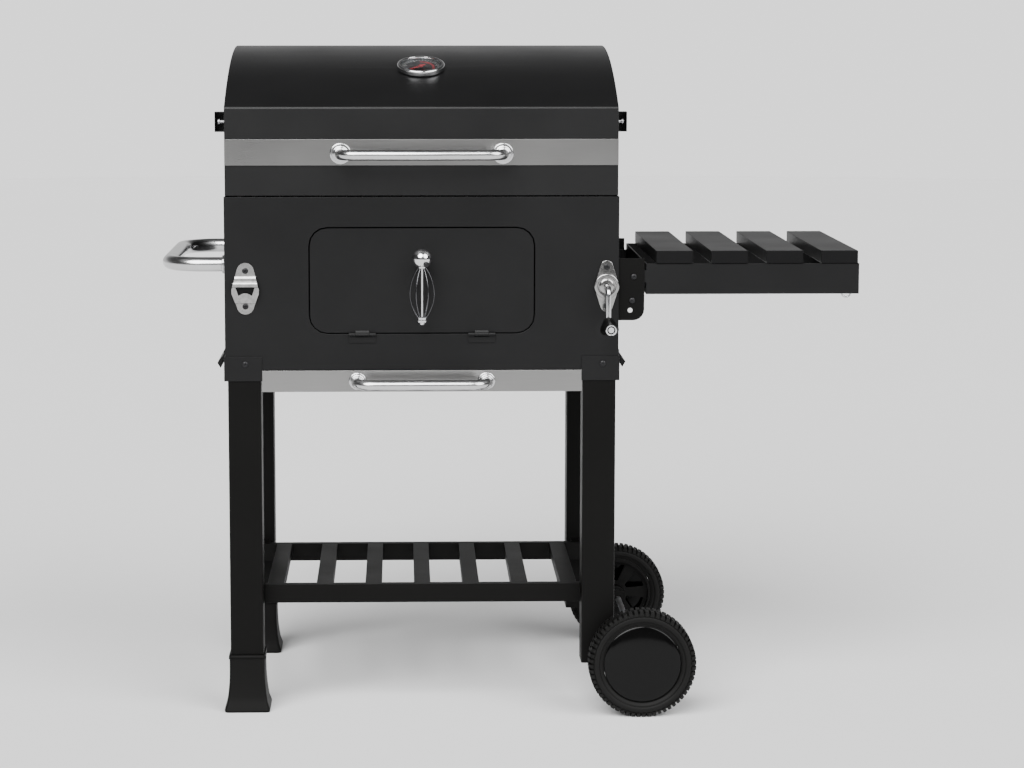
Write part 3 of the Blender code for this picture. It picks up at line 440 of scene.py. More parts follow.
def hex_nut(radius: float = 0.0085, height: float = 0.006) -> Shape:
    """Hexagon nut with softened corners, its underside on z = 0."""
    return softened(prism(arc((0, 0), radius, 0, 300, 5), height, Matrix.Identity(4)), 0.0006)


def copies(shape: Shape, places: Iterable[tuple[Vector, Vector]],
           twist: float = 35.0) -> Shape:
    """Copies of a shape, each standing on a place and facing a direction.

    Args:
        shape: a shape whose base is on z = 0; it is freed.
        places: point and outward direction of each copy.
        twist: how far each copy is turned on from the last, degrees.

    Returns:
        All copies in one bmesh.
    """
    mesh = stored("copy", shape)
    whole = bmesh.new()
    for number, (place, direction) in enumerate(places):
        start = len(whole.verts)
        whole.from_mesh(mesh)
        turn = Matrix.Rotation(math.radians(twist * number), 4, "Z")
        whole.verts.ensure_lookup_table()
        bmesh.ops.transform(whole, matrix=facing(direction, place) @ turn, verts=whole.verts[start:])
    bpy.data.meshes.remove(mesh)
    return whole


def joint(name: str) -> tuple[Vector, Vector]:
    """A joint's point and unit axis from the record.

    Args:
        name: the joint's name.

    Returns:
        The point, zero for a slide, and the axis.
    """
    for entry in frame["record"]["behaviour"]["joints"]:
        if entry["name"] == name:
            return Vector(entry.get("pos_m", (0, 0, 0))), Vector(entry["axis"]).normalized()
    raise ValueError(f"no joint {name}")


# ---- sub-assemblies ------------------------------------------------------------------------------
@dataclass
class SubAssembly:
    """Base of the cart's sub-assemblies: dresses CAD nodes and makes new pieces.

    Args:
        body: CAD body that the pieces ride on.
    """

    body: str = "cart"

    def piece(self, name: str, bm: Shape, finish: Finish,
              replaces: Sequence[str] = (), smooth: float = 40.0) -> bpy.types.Object:
        """Turn a shape into a finished piece that rides on the body.

        Args:
            name: the piece's name.
            bm: its shape, in the row frame; it is freed.
            finish: its finish.
            replaces: CAD nodes that it stands for.
            smooth: edges sharper than this many degrees stay sharp.

        Returns:
            The new object.
        """
        mesh = stored(name, bm)
        mesh.shade_smooth()
        mesh.set_sharp_from_angle(angle=math.radians(smooth))
        mesh.materials.append(finish.material())
        item = linked(name, mesh)
        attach(item, self.body)
        if replaces:
            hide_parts(*replaces)
        LOG.info("%s: %d faces, %s", name, len(mesh.polygons), finish.name)
        return item

    def refined(self, node: str, finish: Finish, width: float = 0.0005,
                sharp: float = 40.0, clamp: bool = False) -> bpy.types.Object:
        """Stand in for a CAD node with a copy of it that has softened edges.

        Args:
            node: the CAD node.
            finish: its finish.
            width: width of the softened edges, metres.
            sharp: edges flatter than this many degrees stay as they are.
            clamp: whether the width is cut down where edges lie close together.

        Returns:
            The new object.
        """
        bm = bmesh.new()
        bm.from_mesh(frame["nodes"][node].data)
        bmesh.ops.remove_doubles(bm, verts=bm.verts, dist=2e-6)
        bmesh.ops.dissolve_limit(bm, angle_limit=math.radians(0.5), verts=bm.verts, edges=bm.edges)
        softened(bm, width, sharp, clamp=clamp)
        many_sided = [face for face in bm.faces if len(face.verts) > 4]
        bmesh.ops.triangulate(bm, faces=many_sided, ngon_method="EAR_CLIP")
        item = self.piece(f"{node}_skin", bm, finish, [node])
        flat = item.modifiers.new("flat_faces", "WEIGHTED_NORMAL")
        flat.mode = "FACE_AREA"
        flat.weight = 50
        flat.keep_sharp = True
        return item

    def dressed(self, node: str, finish: Finish) -> None:
        """Keep a CAD node's own mesh and give it a finish."""
        for slot in frame["nodes"][node].material_slots:
            slot.material = finish.material()
        LOG.info("%s: kept, %s", node, finish.name)


@dataclass
class BarHandle(SubAssembly):
    """Chromed bar handle: a bent tube between two wall rosettes with collar rings.

    Args:
        node: CAD node that it stands for; its box gives the handle's place and reach.
        along: direction of the bar.
        out: direction away from the wall.
        foot: radius of the wall rosettes.
        tube: radius of the tube.
        bend: centreline radius of the bends.
        bow: how far the bar's middle stands out past its ends.
        collars: number of rings on each post.
        bend_steps: steps round each bend.
        bar_steps: steps along the bar.
    """

    node: str = ""
    along: Vector = field(default_factory=lambda: RIGHT.copy())
    out: Vector = field(default_factory=lambda: FRONT.copy())
    foot: float = 0.0175
    tube: float = 0.0085
    bend: float = 0.024
    bow: float = 0.0030
    collars: int = 2
    bend_steps: int = 10
    bar_steps: int = 14

    def build(self) -> None:
        """Make the tube and the rosettes as one chromed piece."""
        low, high = (Vector(corner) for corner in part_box(self.node))
        middle_point = (low + high) / 2
        size = high - low
        reach = abs(size.dot(self.out))
        wall = middle_point - self.out * reach / 2
        half = abs(size.dot(self.along)) / 2 - self.foot
        depth = reach - self.tube - self.bow
        side = self.out.cross(self.along)
        stations = [(wall + self.along * a + self.out * b, self.tube)
                    for a, b in self._route(half, depth)]
        parts = [sweep(stations, side, 28)]
        parts += [self._rosette(wall + self.along * half * end) for end in (-1, 1)]
        self.piece(f"{self.node}_bar", merged(parts), TUBE_STEEL, [self.node])

    def _route(self, half: float, depth: float) -> list[tuple[float, float]]:
        """Centreline as (along, out) points from one post's wall to the other's."""
        turn = self.bend
        left = arc((turn - half, depth - turn), turn, 180, 90, self.bend_steps)
        right = arc((half - turn, depth - turn), turn, 90, 0, self.bend_steps)
        share = [step / self.bar_steps for step in range(1, self.bar_steps)]
        bar = [((half - turn) * (2 * u - 1), depth + self.bow * math.sin(math.pi * u) ** 2)
               for u in share]
        return [(-half, 0.0005), *left, *bar, *right, (half, 0.0005)]

    def _rosette(self, place: Vector) -> Shape:
        """Wall rosette with its collar rings, turned about the post."""
        rim = 0.0006
        profile = [(0.0, 0.0), (self.foot, 0.0), (self.foot, 0.0016),
                   (self.foot - rim, 0.0024), (self.foot - 3 * rim, 0.0030)]
        ring = (self.foot + self.tube) / 2
        height = 0.0030
        for number in range(self.collars):
            outer = ring - number * (ring - self.tube) * 0.45
            profile += [(outer - rim, height), (outer, height + rim), (outer, height + 0.0022),
                        (outer - rim, height + 0.0022 + rim), (self.tube + rim, height + 0.0034)]
            height += 0.0040
        profile += [(self.tube + rim, height), (self.tube - rim, height + rim), (0.0, height + rim)]
        return lathe(profile, 40, place, self.out)


@dataclass
class Firebox(SubAssembly):
    """Sheet steel firebox with its grates, brackets, side handle and bottle opener.

    Args:
        screw: radius of the bracket screws' heads.
        edge: width of the firebox's softened edges.
        opener_sheet: thickness of the opener's sheet.
        opener_bends: height on the opener, and how far its sheet stands off there.
    """

    screw: float = 0.0048
    edge: float = 0.0008
    opener_sheet: float = 0.0015
    opener_bends: tuple[tuple[float, float], ...] = (
        (0.0206, 0.0), (0.0198, 0.0030), (0.0170, 0.0042), (0.0125, 0.0040), (0.0105, 0.0088),
        (0.0085, 0.0100), (0.0034, 0.0098), (0.0022, 0.0075), (-0.0060, 0.0062), (-0.0235, 0.0030),
        (-0.0245, 0.0))

    def build(self) -> None:
        """Dress the firebox and everything screwed to it."""
        self.refined("firebox", ENAMEL, self.edge)
        for side in ("left", "right"):
            self.refined(f"cooking_grate_{side}", IRON, 0.0010)
            self.refined(f"lid_hinge_bracket_{side}", ZINC, 0.0002)
            self.refined(f"door_hinge_{side}", ENAMEL, 0.0004)
        for end in ("front", "back"):
            self.refined(f"shelf_bracket_{end}", FRAME_PAINT, 0.0004)
        BarHandle(self.body, "side_handle", BACK, -RIGHT, foot=0.018, tube=0.012, bend=0.060,
                  bow=0.0, collars=1, bend_steps=16).build()
        self.bracket_screws()
        self.opener()

    def bracket_screws(self) -> None:
        """Cross-head screws that hold the corner brackets and the shelf brackets."""
        spots = []
        for end, face in (("front", FRONT), ("back", BACK)):
            for side in ("left", "right"):
                low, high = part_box(f"leg_bracket_{end}_{side}")
                wall = low.y if face is FRONT else high.y
                inward = 0.0343 if side == "left" else -0.0273
                edge = low.x if side == "left" else high.x
                spots.append((Vector((edge + inward, wall, high.z - 0.012)), face))
        self.piece("corner_screws", copies(screw_head(self.screw), spots), SCREW_BLACK)
        low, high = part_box("shelf_bracket_front")
        pair = [(Vector((high.x - 0.0174, low.y, high.z - 0.030)), FRONT),
                (Vector((high.x - 0.0200, low.y, high.z - 0.069)), FRONT)]
        self.piece("shelf_bracket_screws", copies(screw_head(self.screw), pair), SCREW_BLACK)

    def opener(self) -> None:
        """Bottle opener pressed from one sheet: flat tabs, a raised bridge and an arched lip."""
        low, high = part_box("bottle_opener")
        half = (high.z - low.z) / 2
        wide = (high.x - low.x) / 2 - 0.0002
        place = Vector(((low.x + high.x) / 2, high.y, (low.z + high.z) / 2))
        tab = 0.0140
        outline = arc((0, half - tab), tab, 12, 168, 12) + [(-wide, -0.0020), (-wide + 0.0004, -0.0080)]
        outline += arc((0, tab - half), tab, 192, 348, 12) + [(wide - 0.0004, -0.0080), (wide, -0.0020)]
        mouth = [(-0.0155, 0.0022), (-0.0110, -0.0112)] + arc((0, -0.0215), 0.0146, 128, 52, 10)
        mouth += [(0.0110, -0.0112), (0.0155, 0.0022)]
        through = Matrix.Translation((0, 0, -0.01))
        sheet = carved(prism(outline, self.opener_sheet, Matrix.Identity(4)),
                       [prism(mouth, 0.02, through)])
        for height, _ in self.opener_bends:
            bmesh.ops.bisect_plane(sheet, geom=sheet.verts[:] + sheet.edges[:] + sheet.faces[:],
                                   plane_co=(0, height, 0), plane_no=(0, 1, 0))
        for vert in sheet.verts:
            vert.co.z += self._opener_rise(vert.co.y)
        many_sided = [face for face in sheet.faces if len(face.verts) > 4]
        bmesh.ops.triangulate(sheet, faces=many_sided)
        bmesh.ops.transform(sheet, matrix=facing(FRONT, place), verts=sheet.verts)
        self.piece("bottle_opener_pressing", sheet, PLATE_STEEL, ["bottle_opener"], 20.0)
        spots = [(place + Vector((0, -self.opener_sheet, end * (half - tab + 0.001))), FRONT)
                 for end in (-1, 1)]
        self.piece("opener_screws", copies(screw_head(0.0050), spots), SCREW_BLACK)

    def _opener_rise(self, height: float) -> float:
        """How far the opener's sheet stands off the firebox at a height from its middle."""
        bends = self.opener_bends
        if height >= bends[0][0] or height <= bends[-1][0]:
            return 0.0
        for (upper, out_upper), (lower, out_lower) in zip(bends, bends[1:]):
            if lower <= height <= upper:
                share = (upper - height) / (upper - lower)
                return out_upper + (out_lower - out_upper) * share
        return 0.0


@dataclass
class Undercart(SubAssembly):
    """Legs, feet, axle and the slatted lower rack."""

    edge: float = 0.0006

    def build(self) -> None:
        """Dress legs, brackets, feet, axle and rack."""
        for end in ("front", "back"):
            for side in ("left", "right"):
                self.refined(f"leg_{end}_{side}", FRAME_PAINT, 0.0003)
                self.refined(f"leg_bracket_{end}_{side}", ENAMEL, 0.0004)
            self.refined(f"foot_{end}", PLASTIC, 0.0018)
            self.refined(f"axle_bracket_{end}", FRAME_PAINT, 0.0004)
        self.refined("bottom_rack", FRAME_PAINT, self.edge)
        self.refined("wheel_axle", ZINC, 0.0004)


@dataclass
class Lid(SubAssembly):
    """Round-backed lid with its strip, handle, vents and hinge leaves."""

    body: str = "lid"

    def build(self) -> None:
        """Dress the shell and what is fixed to it."""
        # The lid's enamel carries painted light in its lighter colour.
        self.refined("lid_shell", LID_ENAMEL_PAINTED_LIGHT, 0.0010, 25.0)
        self.refined("lid_strip", STAINLESS, 0.0004)
        for side in ("left", "right"):
            self.refined(f"lid_hinge_leaf_{side}", ZINC, 0.0004)
        BarHandle(self.body, "lid_handle").build()


@dataclass
class LidVent(SubAssembly):
    """Turning damper disc on an end of the lid, with its pivot bolt.

    Args:
        side: left or right.
        sheet: how far the disc's outer face is from the joint's point.
    """

    side: str = "left"
    sheet: float = 0.0014

    def build(self) -> None:
        """Dress the disc and add the pivot bolt."""
        node = f"lid_vent_{self.side}"
        self.refined(node, ENAMEL, 0.0002)
        point, _ = joint(f"damper_{self.side}_turn")
        out = -RIGHT if self.side == "left" else RIGHT
        pin = [(0.0, 0.0), (0.0032, 0.0), (0.0032, 0.0135), (0.0056, 0.0140), (0.0052, 0.0168),
               (0.0030, 0.0180), (0.0, 0.0180)]
        self.piece(f"vent_pivot_{self.side}", lathe(pin, 24, point + out * self.sheet, out), ZINC)


@dataclass
class Thermometer(SubAssembly):
    """Dial thermometer on the roof: chromed case, dial with marks, and glass.

    Args:
        radius: outer radius of the bezel.
        opening: radius of the bezel's opening.
        floor: height of the dial's face above the case's base.
        top: height of the bezel's rim above the case's base.
        marks: number of graduations round the dial.
        sweep_angle: angle that they cover, degrees.
    """

    body: str = "lid"
    radius: float = 0.0395
    opening: float = 0.0335
    floor: float = 0.0030
    top: float = 0.0100
    marks: int = 26
    sweep_angle: float = 250.0

    def build(self) -> None:
        """Make case, dial and glass on the needle's own axis."""
        point, self.out = joint("thermometer_needle_turn")
        self.base = point
        rim = 0.0012
        profile = [(0.0, 0.0003), (self.radius - rim, 0.0003), (self.radius, 0.0003 + rim)]
        profile += arc((self.radius - 0.0030, self.top - 0.0030), 0.0030, 0, 90, 6)
        lip = self.opening + 0.0003
        profile += [(self.opening + 0.0008, self.top - 0.0003), (lip, self.top - 0.0012),
                    (lip, self.floor), (0.0, self.floor)]
        self.piece("thermometer_bezel", lathe(profile, 72, self.base, self.out), CHROME,
                   ["thermometer_case"])
        self.dial()
        profile = [(0.0, 0.0075), (self.opening - 0.0001, 0.0075), (self.opening - 0.0001, 0.0085),
                   (self.opening - 0.004, 0.0089), (0.0, 0.0090)]
        self.piece("thermometer_lens", lathe(profile, 56, self.base, self.out), GLASS,
                   ["thermometer_glass"])

    def dial(self) -> None:
        """Dial face, graduations and the red hot zone."""
        face = [(0.0, self.floor + 0.00005), (self.opening, self.floor + 0.00005),
                (self.opening, self.floor + 0.0004), (0.0, self.floor + 0.0004)]
        self.piece("thermometer_dial", lathe(face, 56, self.base, self.out), DIAL)
        place = facing(self.out, self.base)
        ticks = []
        height = self.floor + 0.0004
        for number in range(self.marks):
            angle = math.radians(215.0 - self.sweep_angle * number / (self.marks - 1))
            long = number % 5 == 0
            inner = self.opening * (0.70 if long else 0.80)
            tick = block((inner, -0.0003, height), (self.opening * 0.90, 0.0003, height + 0.0002), 0.0)
            bmesh.ops.transform(tick, matrix=place @ Matrix.Rotation(angle, 4, "Z"), verts=tick.verts)
            ticks.append(tick)
        self.piece("thermometer_marks", merged(ticks), DIAL_MARK)
        outer = arc((0, 0), self.opening * 0.66, 95, -35, 26)
        inner_edge = arc((0, 0), self.opening * 0.56, -35, 95, 26)
        zone = prism(outer + inner_edge, 0.0002, place @ Matrix.Translation((0, 0, height)))
        self.piece("thermometer_hot_zone", zone, DIAL_RED)


@dataclass
class Needle(SubAssembly):
    """Thermometer needle."""

    body: str = "needle"

    def build(self) -> None:
        """Dress the needle."""
        self.dressed("thermometer_needle", DIAL_RED)


@dataclass
class FireDoor(SubAssembly):
    """Fuel door in the firebox front."""

    body: str = "door"

    def build(self) -> None:
        """Dress the door."""
        self.refined("fire_door", ENAMEL, 0.0006, clamp=True)


@dataclass
class Latch(SubAssembly):
    """Turning latch: a chromed ball with a bolt, a hanging rod in a wire cage, and an end cap.

    Args:
        ball: radius of the ball.
        wires: number of wires in the cage.
        bulge: how far the wires stand off the cage's axis.
        wire: radius of a wire.
        collar: distance of the wires from the axis at the collars.
        cage_top: drop from the ball's middle to the cage's upper end.
        cage_end: drop to its lower end.
        set_back: how far the ball sits behind the cage's axis.
    """

    body: str = "latch"
    ball: float = 0.016
    wires: int = 6
    bulge: float = 0.0195
    wire: float = 0.0009
    collar: float = 0.0045
    cage_top: float = 0.013
    cage_end: float = 0.097
    set_back: float = 0.004

    def build(self) -> None:
        """Make the latch round its own joint's axis."""
        point, _ = joint("door_latch_turn")
        low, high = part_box("door_latch")
        hang = Vector((point.x, low.y + self.bulge + self.wire, point.z))
        centre = hang + Vector((0, self.set_back, 0))
        knob = bmesh.new()
        bmesh.ops.create_uvsphere(knob, u_segments=40, v_segments=24, radius=self.ball,
                                  matrix=Matrix.Translation(centre))
        shaft = lathe([(0.0, 0.0), (0.003, 0.0), (0.003, high.y - centre.y - 0.0002),
                       (0.0, high.y - centre.y - 0.0002)], 20, centre, BACK)
        tongue = block((point.x - 0.008, high.y - 0.0016, point.z - 0.006),
                       (point.x + 0.008, high.y, point.z + 0.045), 0.0004)
        bolt = lathe([(0.0, 0.0), (0.0045, 0.0), (0.0045, 0.002), (0.0035, 0.003), (0.0, 0.003)], 18,
                     centre + Vector((0.006, -self.ball * 0.80, -self.ball * 0.45)),
                     Vector((0.35, -0.85, -0.40)))
        self.piece("latch_bolt", bolt, SCREW_BLACK)
        parts = [knob, shaft, tongue]
        cage = [self._wire(hang, math.tau * number / self.wires) for number in range(self.wires)]
        self.piece("latch_wires", merged(cage), DULL_CHROME)
        length = self.cage_end - self.cage_top
        parts.append(lathe([(0.0, 0.0), (0.0017, 0.0), (0.0017, length), (0.0, length)], 16,
                           hang - UP * self.cage_end, UP))
        for drop, radius in ((0.0130, 0.0066), (0.0960, 0.0074), (0.1005, 0.0080)):
            ring = [(0.0, -0.0022), (radius - 0.0008, -0.0022), (radius, -0.0014), (radius, 0.0014),
                    (radius - 0.0008, 0.0022), (0.0, 0.0022)]
            parts.append(lathe(ring, 28, hang - UP * drop, UP))
        end = [(0.0, 0.0), (0.0030, 0.0), (0.0042, 0.0010), (0.0056, 0.0040), (0.0062, 0.0052),
               (0.0, 0.0052)]
        parts.append(lathe(end, 28, hang - UP * 0.1070, UP))
        self.piece("latch_spiral", merged(parts), CHROME, ["door_latch"])

    def _wire(self, centre: Vector, angle: float) -> Shape:
        """One wire of the cage, bowed outwards between the two collars."""
        outward = Vector((math.cos(angle), math.sin(angle), 0))
        side = outward.cross(UP)
        steps = 18
        stations = []
        for step in range(steps + 1):
            share = step / steps
            off = self.collar + (self.bulge - self.collar) * math.sin(math.pi * share) ** 0.8
            drop = self.cage_top + (self.cage_end - self.cage_top) * share
            stations.append((centre + outward * off - UP * drop, self.wire))
        return sweep(stations, side, 10)


@dataclass
class AshDrawer(SubAssembly):
    """Ash tray with its bright front and handle."""

    body: str = "drawer"

    def build(self) -> None:
        """Dress tray and front and make the handle."""
        self.refined("ash_tray", ZINC, 0.0004)
        self.refined("drawer_front", STAINLESS, 0.0004)
        BarHandle(self.body, "drawer_handle", foot=0.0145, bow=0.0).build()


@dataclass
class Crank(SubAssembly):
    """Crank of the pan's lift: pressed plate, bent rod and the grip that turns on it.

    Args:
        rod: radius of the rod.
        bend: centreline radius of its bends.
        disc: radius of the pressed disc on the plate.
        lobe_turn: turn of the grip's lobes about its axis, radians.
        lobe_depth: share by which the grip is drawn in between its lobes.
        screw_spread: height of each plate screw above or below the rod.
        clearance: gap between the rod and what it runs through.
    """

    body: str = "crank"
    rod: float = 0.0045
    bend: float = 0.012
    disc: float = 0.0205
    lobe_turn: float = 1.2
    lobe_depth: float = 0.50
    screw_spread: float = 0.0315
    clearance: float = 0.0003

    def build(self) -> None:
        """Make plate, rod, pinion and grip."""
        self.plate()
        self.rod_shape()
        self.refined("lift_pinion", ZINC, 0.0003)
        self.grip()

    def plate(self) -> None:
        """Plate on the firebox: lobes for two screws and a pressed disc with a ring groove."""
        point, _ = joint("crank_turn")
        low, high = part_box("crank_plate")
        back = Vector((point.x, high.y, point.z))
        cart = SubAssembly("cart")
        height = high.y - low.y
        outline: list[tuple[float, float]] = []
        for centre, radius, start, end in (((0, self.screw_spread), 0.0104, 24, 156),
                                           ((0, 0), 0.0200, 158, 202),
                                           ((0, -self.screw_spread), 0.0104, 204, 336),
                                           ((0, 0), 0.0200, -22, 22)):
            outline += arc(centre, radius, start, end, 12)
        turn = facing(FRONT, back)
        bore = self.rod + self.clearance
        drill = lathe([(0.0, -0.001), (bore, -0.001), (bore, 0.004), (0.0, 0.004)], 56, back, FRONT)
        sheet = carved(softened(prism(outline, 0.0020, turn), 0.0007, 50.0, 3), [drill])
        profile = [(bore, 0.0012), (self.disc, 0.0012), (self.disc, 0.0034)]
        profile += arc((self.disc - 0.0022, 0.0042), 0.0022, 0, 90, 5)
        profile += [(0.0155, 0.0064), (0.0145, 0.0052), (0.0125, 0.0050), (0.0112, height - 0.0006),
                    (0.0100, height), (bore, height)]
        boss = lathe(profile, 56, back, FRONT, closed=True)
        cart.piece("crank_plate_pressing", merged([sheet, boss]), PLATE_STEEL, ["crank_plate"])
        spots = [(back + Vector((0, -0.0018, end * self.screw_spread)), FRONT) for end in (-1, 1)]
        cart.piece("crank_plate_screws", copies(screw_head(0.0052), spots), SCREW_BLACK)

    def rod_shape(self) -> None:
        """Bent rod from the firebox to the grip."""
        low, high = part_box("crank_rod")
        point, _ = joint("crank_turn")
        grip_point, _ = joint("crank_grip_spin")
        arm = self._arm_line()
        turn = self.bend
        route = [(high.y, point.z)]
        route += [(b, a) for a, b in reversed(arc((point.z - turn, arm + turn), turn, 270, 360, 10))]
        route += [(arm - turn + turn * math.cos(math.radians(a)),
                   grip_point.z + turn - turn * math.sin(math.radians(a))) for a in range(0, 91, 9)]
        route.append((low.y, grip_point.z))
        stations = [(Vector((point.x, y, z)), self.rod) for y, z in route]
        self.piece("crank_rod_bent", sweep(stations, RIGHT, 24), CHROME, ["crank_rod"])

    def _arm_line(self) -> float:
        """Depth of the rod's upright arm: one bend behind the grip's inner end."""
        _, grip_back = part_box("crank_grip")
        return grip_back.y + self.bend + 0.001

    def grip(self) -> None:
        """Three-lobed plastic grip with a bright ring in its end."""
        low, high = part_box("crank_grip")
        centre = (low + high) / 2
        start = Vector((centre.x, high.y, centre.z))
        length = high.y - low.y
        widest = (high.z - low.z) / 2
        bore = self.rod + self.clearance
        profile = [(bore, 0.0), (widest - 0.0030, 0.0), (widest - 0.0010, 0.0012), (widest, 0.0040),
                   (widest, 0.0085), (widest - 0.0014, 0.0135), (widest - 0.0042, 0.0190),
                   (0.0100, 0.0250), (0.0092, 0.0310), (0.0090, 0.0380), (0.0090, length - 0.0042),
                   (0.0084, length - 0.0026), (bore, length - 0.0026)]
        moulding = lathe(profile, 72, Vector(), UP, closed=True)
        for vert in moulding.verts:
            radius = math.hypot(vert.co.x, vert.co.y)
            lobe = 0.5 - 0.5 * math.cos(3 * math.atan2(vert.co.y, vert.co.x) + self.lobe_turn)
            cut_in = max(0.0, radius - 0.0088) * self.lobe_depth * lobe
            vert.co.xy *= (radius - cut_in) / radius
        bmesh.ops.transform(moulding, matrix=facing(FRONT, start), verts=moulding.verts)
        knob = SubAssembly("grip")
        knob.piece("crank_grip_moulding", moulding, PLASTIC, ["crank_grip"], 50.0)
        ring = [(bore + 0.0012, length - 0.0025), (0.0088, length - 0.0025), (0.0088, length - 0.0009),
                (0.0080, length - 0.0001), (0.0066, length - 0.0001), (bore + 0.0012, length - 0.0014)]
        knob.piece("crank_grip_ring", lathe(ring, 40, start, FRONT, closed=True), CHROME)


@dataclass
class PanLift(SubAssembly):
    """Charcoal pan and the toothed rack that lifts it."""

    body: str = "pan"

    def build(self) -> None:
        """Dress pan and rack."""
        self.refined("charcoal_pan", IRON, 0.0006)
        self.refined("lift_rack", ZINC, 0.0003)


@dataclass
class Wheel(SubAssembly):
    """Wheel: tyre with two staggered rows of blocks, spoked hub, domed cap and axle nut.

    Args:
        end: front or back.
        blocks: tread blocks in one row.
        tread: depth of the tread.
        shoulder: radius where the blocks' outer ends begin.
        bead: radius of the tyre's inner edge.
        nut_setback: how far the axle nut sits inside the wheel's middle.
    """

    end: str = "front"
    blocks: int = 60
    tread: float = 0.0040
    shoulder: float = 0.0795
    bead: float = 0.0638
    nut_setback: float = 0.0205

    def build(self) -> None:
        """Make the wheel round its own axle."""
        self.body = f"wheel_{self.end}"
        self.centre, _ = joint(f"wheel_{self.end}_spin")
        self.out = FRONT if self.end == "front" else BACK
        low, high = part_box(f"tyre_{self.end}")
        self.radius = (high.z - low.z) / 2
        self.half = (high.y - low.y) / 2
        self.tyre()
        self.refined(f"wheel_hub_{self.end}", PLASTIC, 0.0006)
        self.cap()
        nut_place = self.centre - self.out * self.nut_setback
        cart = SubAssembly("cart")
        cart.piece(f"wheel_nut_{self.end}", copies(hex_nut(0.0088, 0.0050), [(nut_place, -self.out)]),
                   ZINC)

    def tyre(self) -> None:
        """Carcass with a side ring and groove, and the tread blocks."""
        inner = self.bead
        base = self.radius - self.tread
        half = self.half
        side = [(inner, 0.0155), (inner + 0.0010, half - 0.0070), (inner + 0.0040, half - 0.0040),
                (inner + 0.0060, half - 0.0036), (inner + 0.0072, half - 0.0012),
                (inner + 0.0090, half - 0.0002), (self.shoulder - 0.002, half),
                (self.shoulder, half - 0.0008), (self.shoulder + 0.0012, half - 0.0032),
                (base - 0.002, half - 0.0040), (base, half - 0.0065)]
        profile = [(r, -h) for r, h in side] + [(r, h) for r, h in reversed(side)]
        carcass = lathe(profile, 120, self.centre, self.out, closed=True)
        pitch = math.tau / self.blocks
        half_block = self.radius * pitch * 0.31
        tread = []
        for row in (-1, 1):
            for number in range(self.blocks):
                angle = pitch * (number + (0.25 if row > 0 else -0.25))
                tread.append(self._tread_block(row, half_block, angle))
        self.piece(f"tyre_{self.end}_tread", merged([carcass, *tread]), RUBBER,
                   [f"tyre_{self.end}"], 35.0)

    def _tread_block(self, row: int, half_block: float, angle: float) -> Shape:
        """One block: it runs over the tread and down the tyre's shoulder."""
        top, low = self.radius - 0.0001, self.shoulder + 0.0006
        edge = self.half - 0.0004
        root = top - self.tread - 0.001
        outline = [(low, edge - 0.0036), (low + 0.0006, edge), (top - 0.0045, edge),
                   (top, edge - 0.0050), (top, 0.0012), (root, 0.0012), (root, edge - 0.0060)]
        points = [(r, row * h) for r, h in outline]
        stand = Matrix(((1, 0, 0, 0), (0, 0, 1, -half_block), (0, 1, 0, 0), (0, 0, 0, 1)))
        shape = prism(points, 2 * half_block, stand)
        bmesh.ops.recalc_face_normals(shape, faces=shape.faces)
        place = facing(self.out, self.centre) @ Matrix.Rotation(angle, 4, "Z")
        bmesh.ops.transform(shape, matrix=place, verts=shape.verts)
        return shape

    def cap(self) -> None:
        """Gloss cap: shallow dome with a rolled rim, plain in the middle."""
        low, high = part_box(f"wheel_cap_{self.end}")
        rim = (high.z - low.z) / 2
        height = max(abs(low.y - self.centre.y), abs(high.y - self.centre.y))
        profile = [(0.0, height), (0.015, height - 0.0002), (0.030, height - 0.0009),
                   (0.044, height - 0.0022), (0.053, height - 0.0035), (0.0575, height - 0.0044),
                   (rim - 0.0030, height - 0.0050), (rim - 0.0010, height - 0.0054),
                   (rim, height - 0.0060), (rim - 0.0004, 0.0156), (rim - 0.0030, 0.0154),
                   (0.030, height - 0.0029),
                   (0.0, height - 0.0020)]
        self.piece(f"wheel_cap_{self.end}_dome", lathe(profile, 96, self.centre, self.out),
                   GLOSS_PLASTIC, [f"wheel_cap_{self.end}"], 30.0)


@dataclass
class SideShelf(SubAssembly):
    """Fold-down shelf: frame, slats and the hook rail."""

    body: str = "shelf"
    slats: int = 4

    def build(self) -> None:
        """Dress the shelf."""
        self.refined("shelf_frame", ENAMEL, 0.0007)
        # The slats' paint carries painted light in its lighter colour.
        for number in range(1, self.slats + 1):
            self.refined(f"shelf_slat_{number}", SLAT_PAINT_PAINTED_LIGHT, 0.0010)
        self.refined("hook_rail", CHROME, 0.0002)


@dataclass
class AirFlap(SubAssembly):
    """Hinged scoop over an air slot.

    Args:
        side: left or right.
    """

    side: str = "left"

    def build(self) -> None:
        """Dress the flap."""
        self.body = f"flap_{self.side}"
        self.refined(f"air_flap_{self.side}", ENAMEL, 0.0003)


# ---- studio ------------------------------------------------------------------------------------
@dataclass(frozen=True)
class SoftSun:
    """Wide soft light from far away, so that the floor is lit evenly.

    Args:
        name: the light's name.
        turn: where it comes from, degrees round the cart; 0 is the front and 90 the right.
        height: degrees above the horizon.
        spread: its angular size, degrees.
        strength: its irradiance.
    """

    name: str
    turn: float
    height: float
    spread: float
    strength: float

    def build(self) -> None:
        """Make the light."""
        lamp = bpy.data.lights.new(self.name, "SUN")
        lamp.angle = math.radians(self.spread)
        lamp.energy = self.strength
        item = linked(self.name, lamp)
        item.rotation_euler = (math.radians(90 - self.height), 0, math.radians(self.turn))


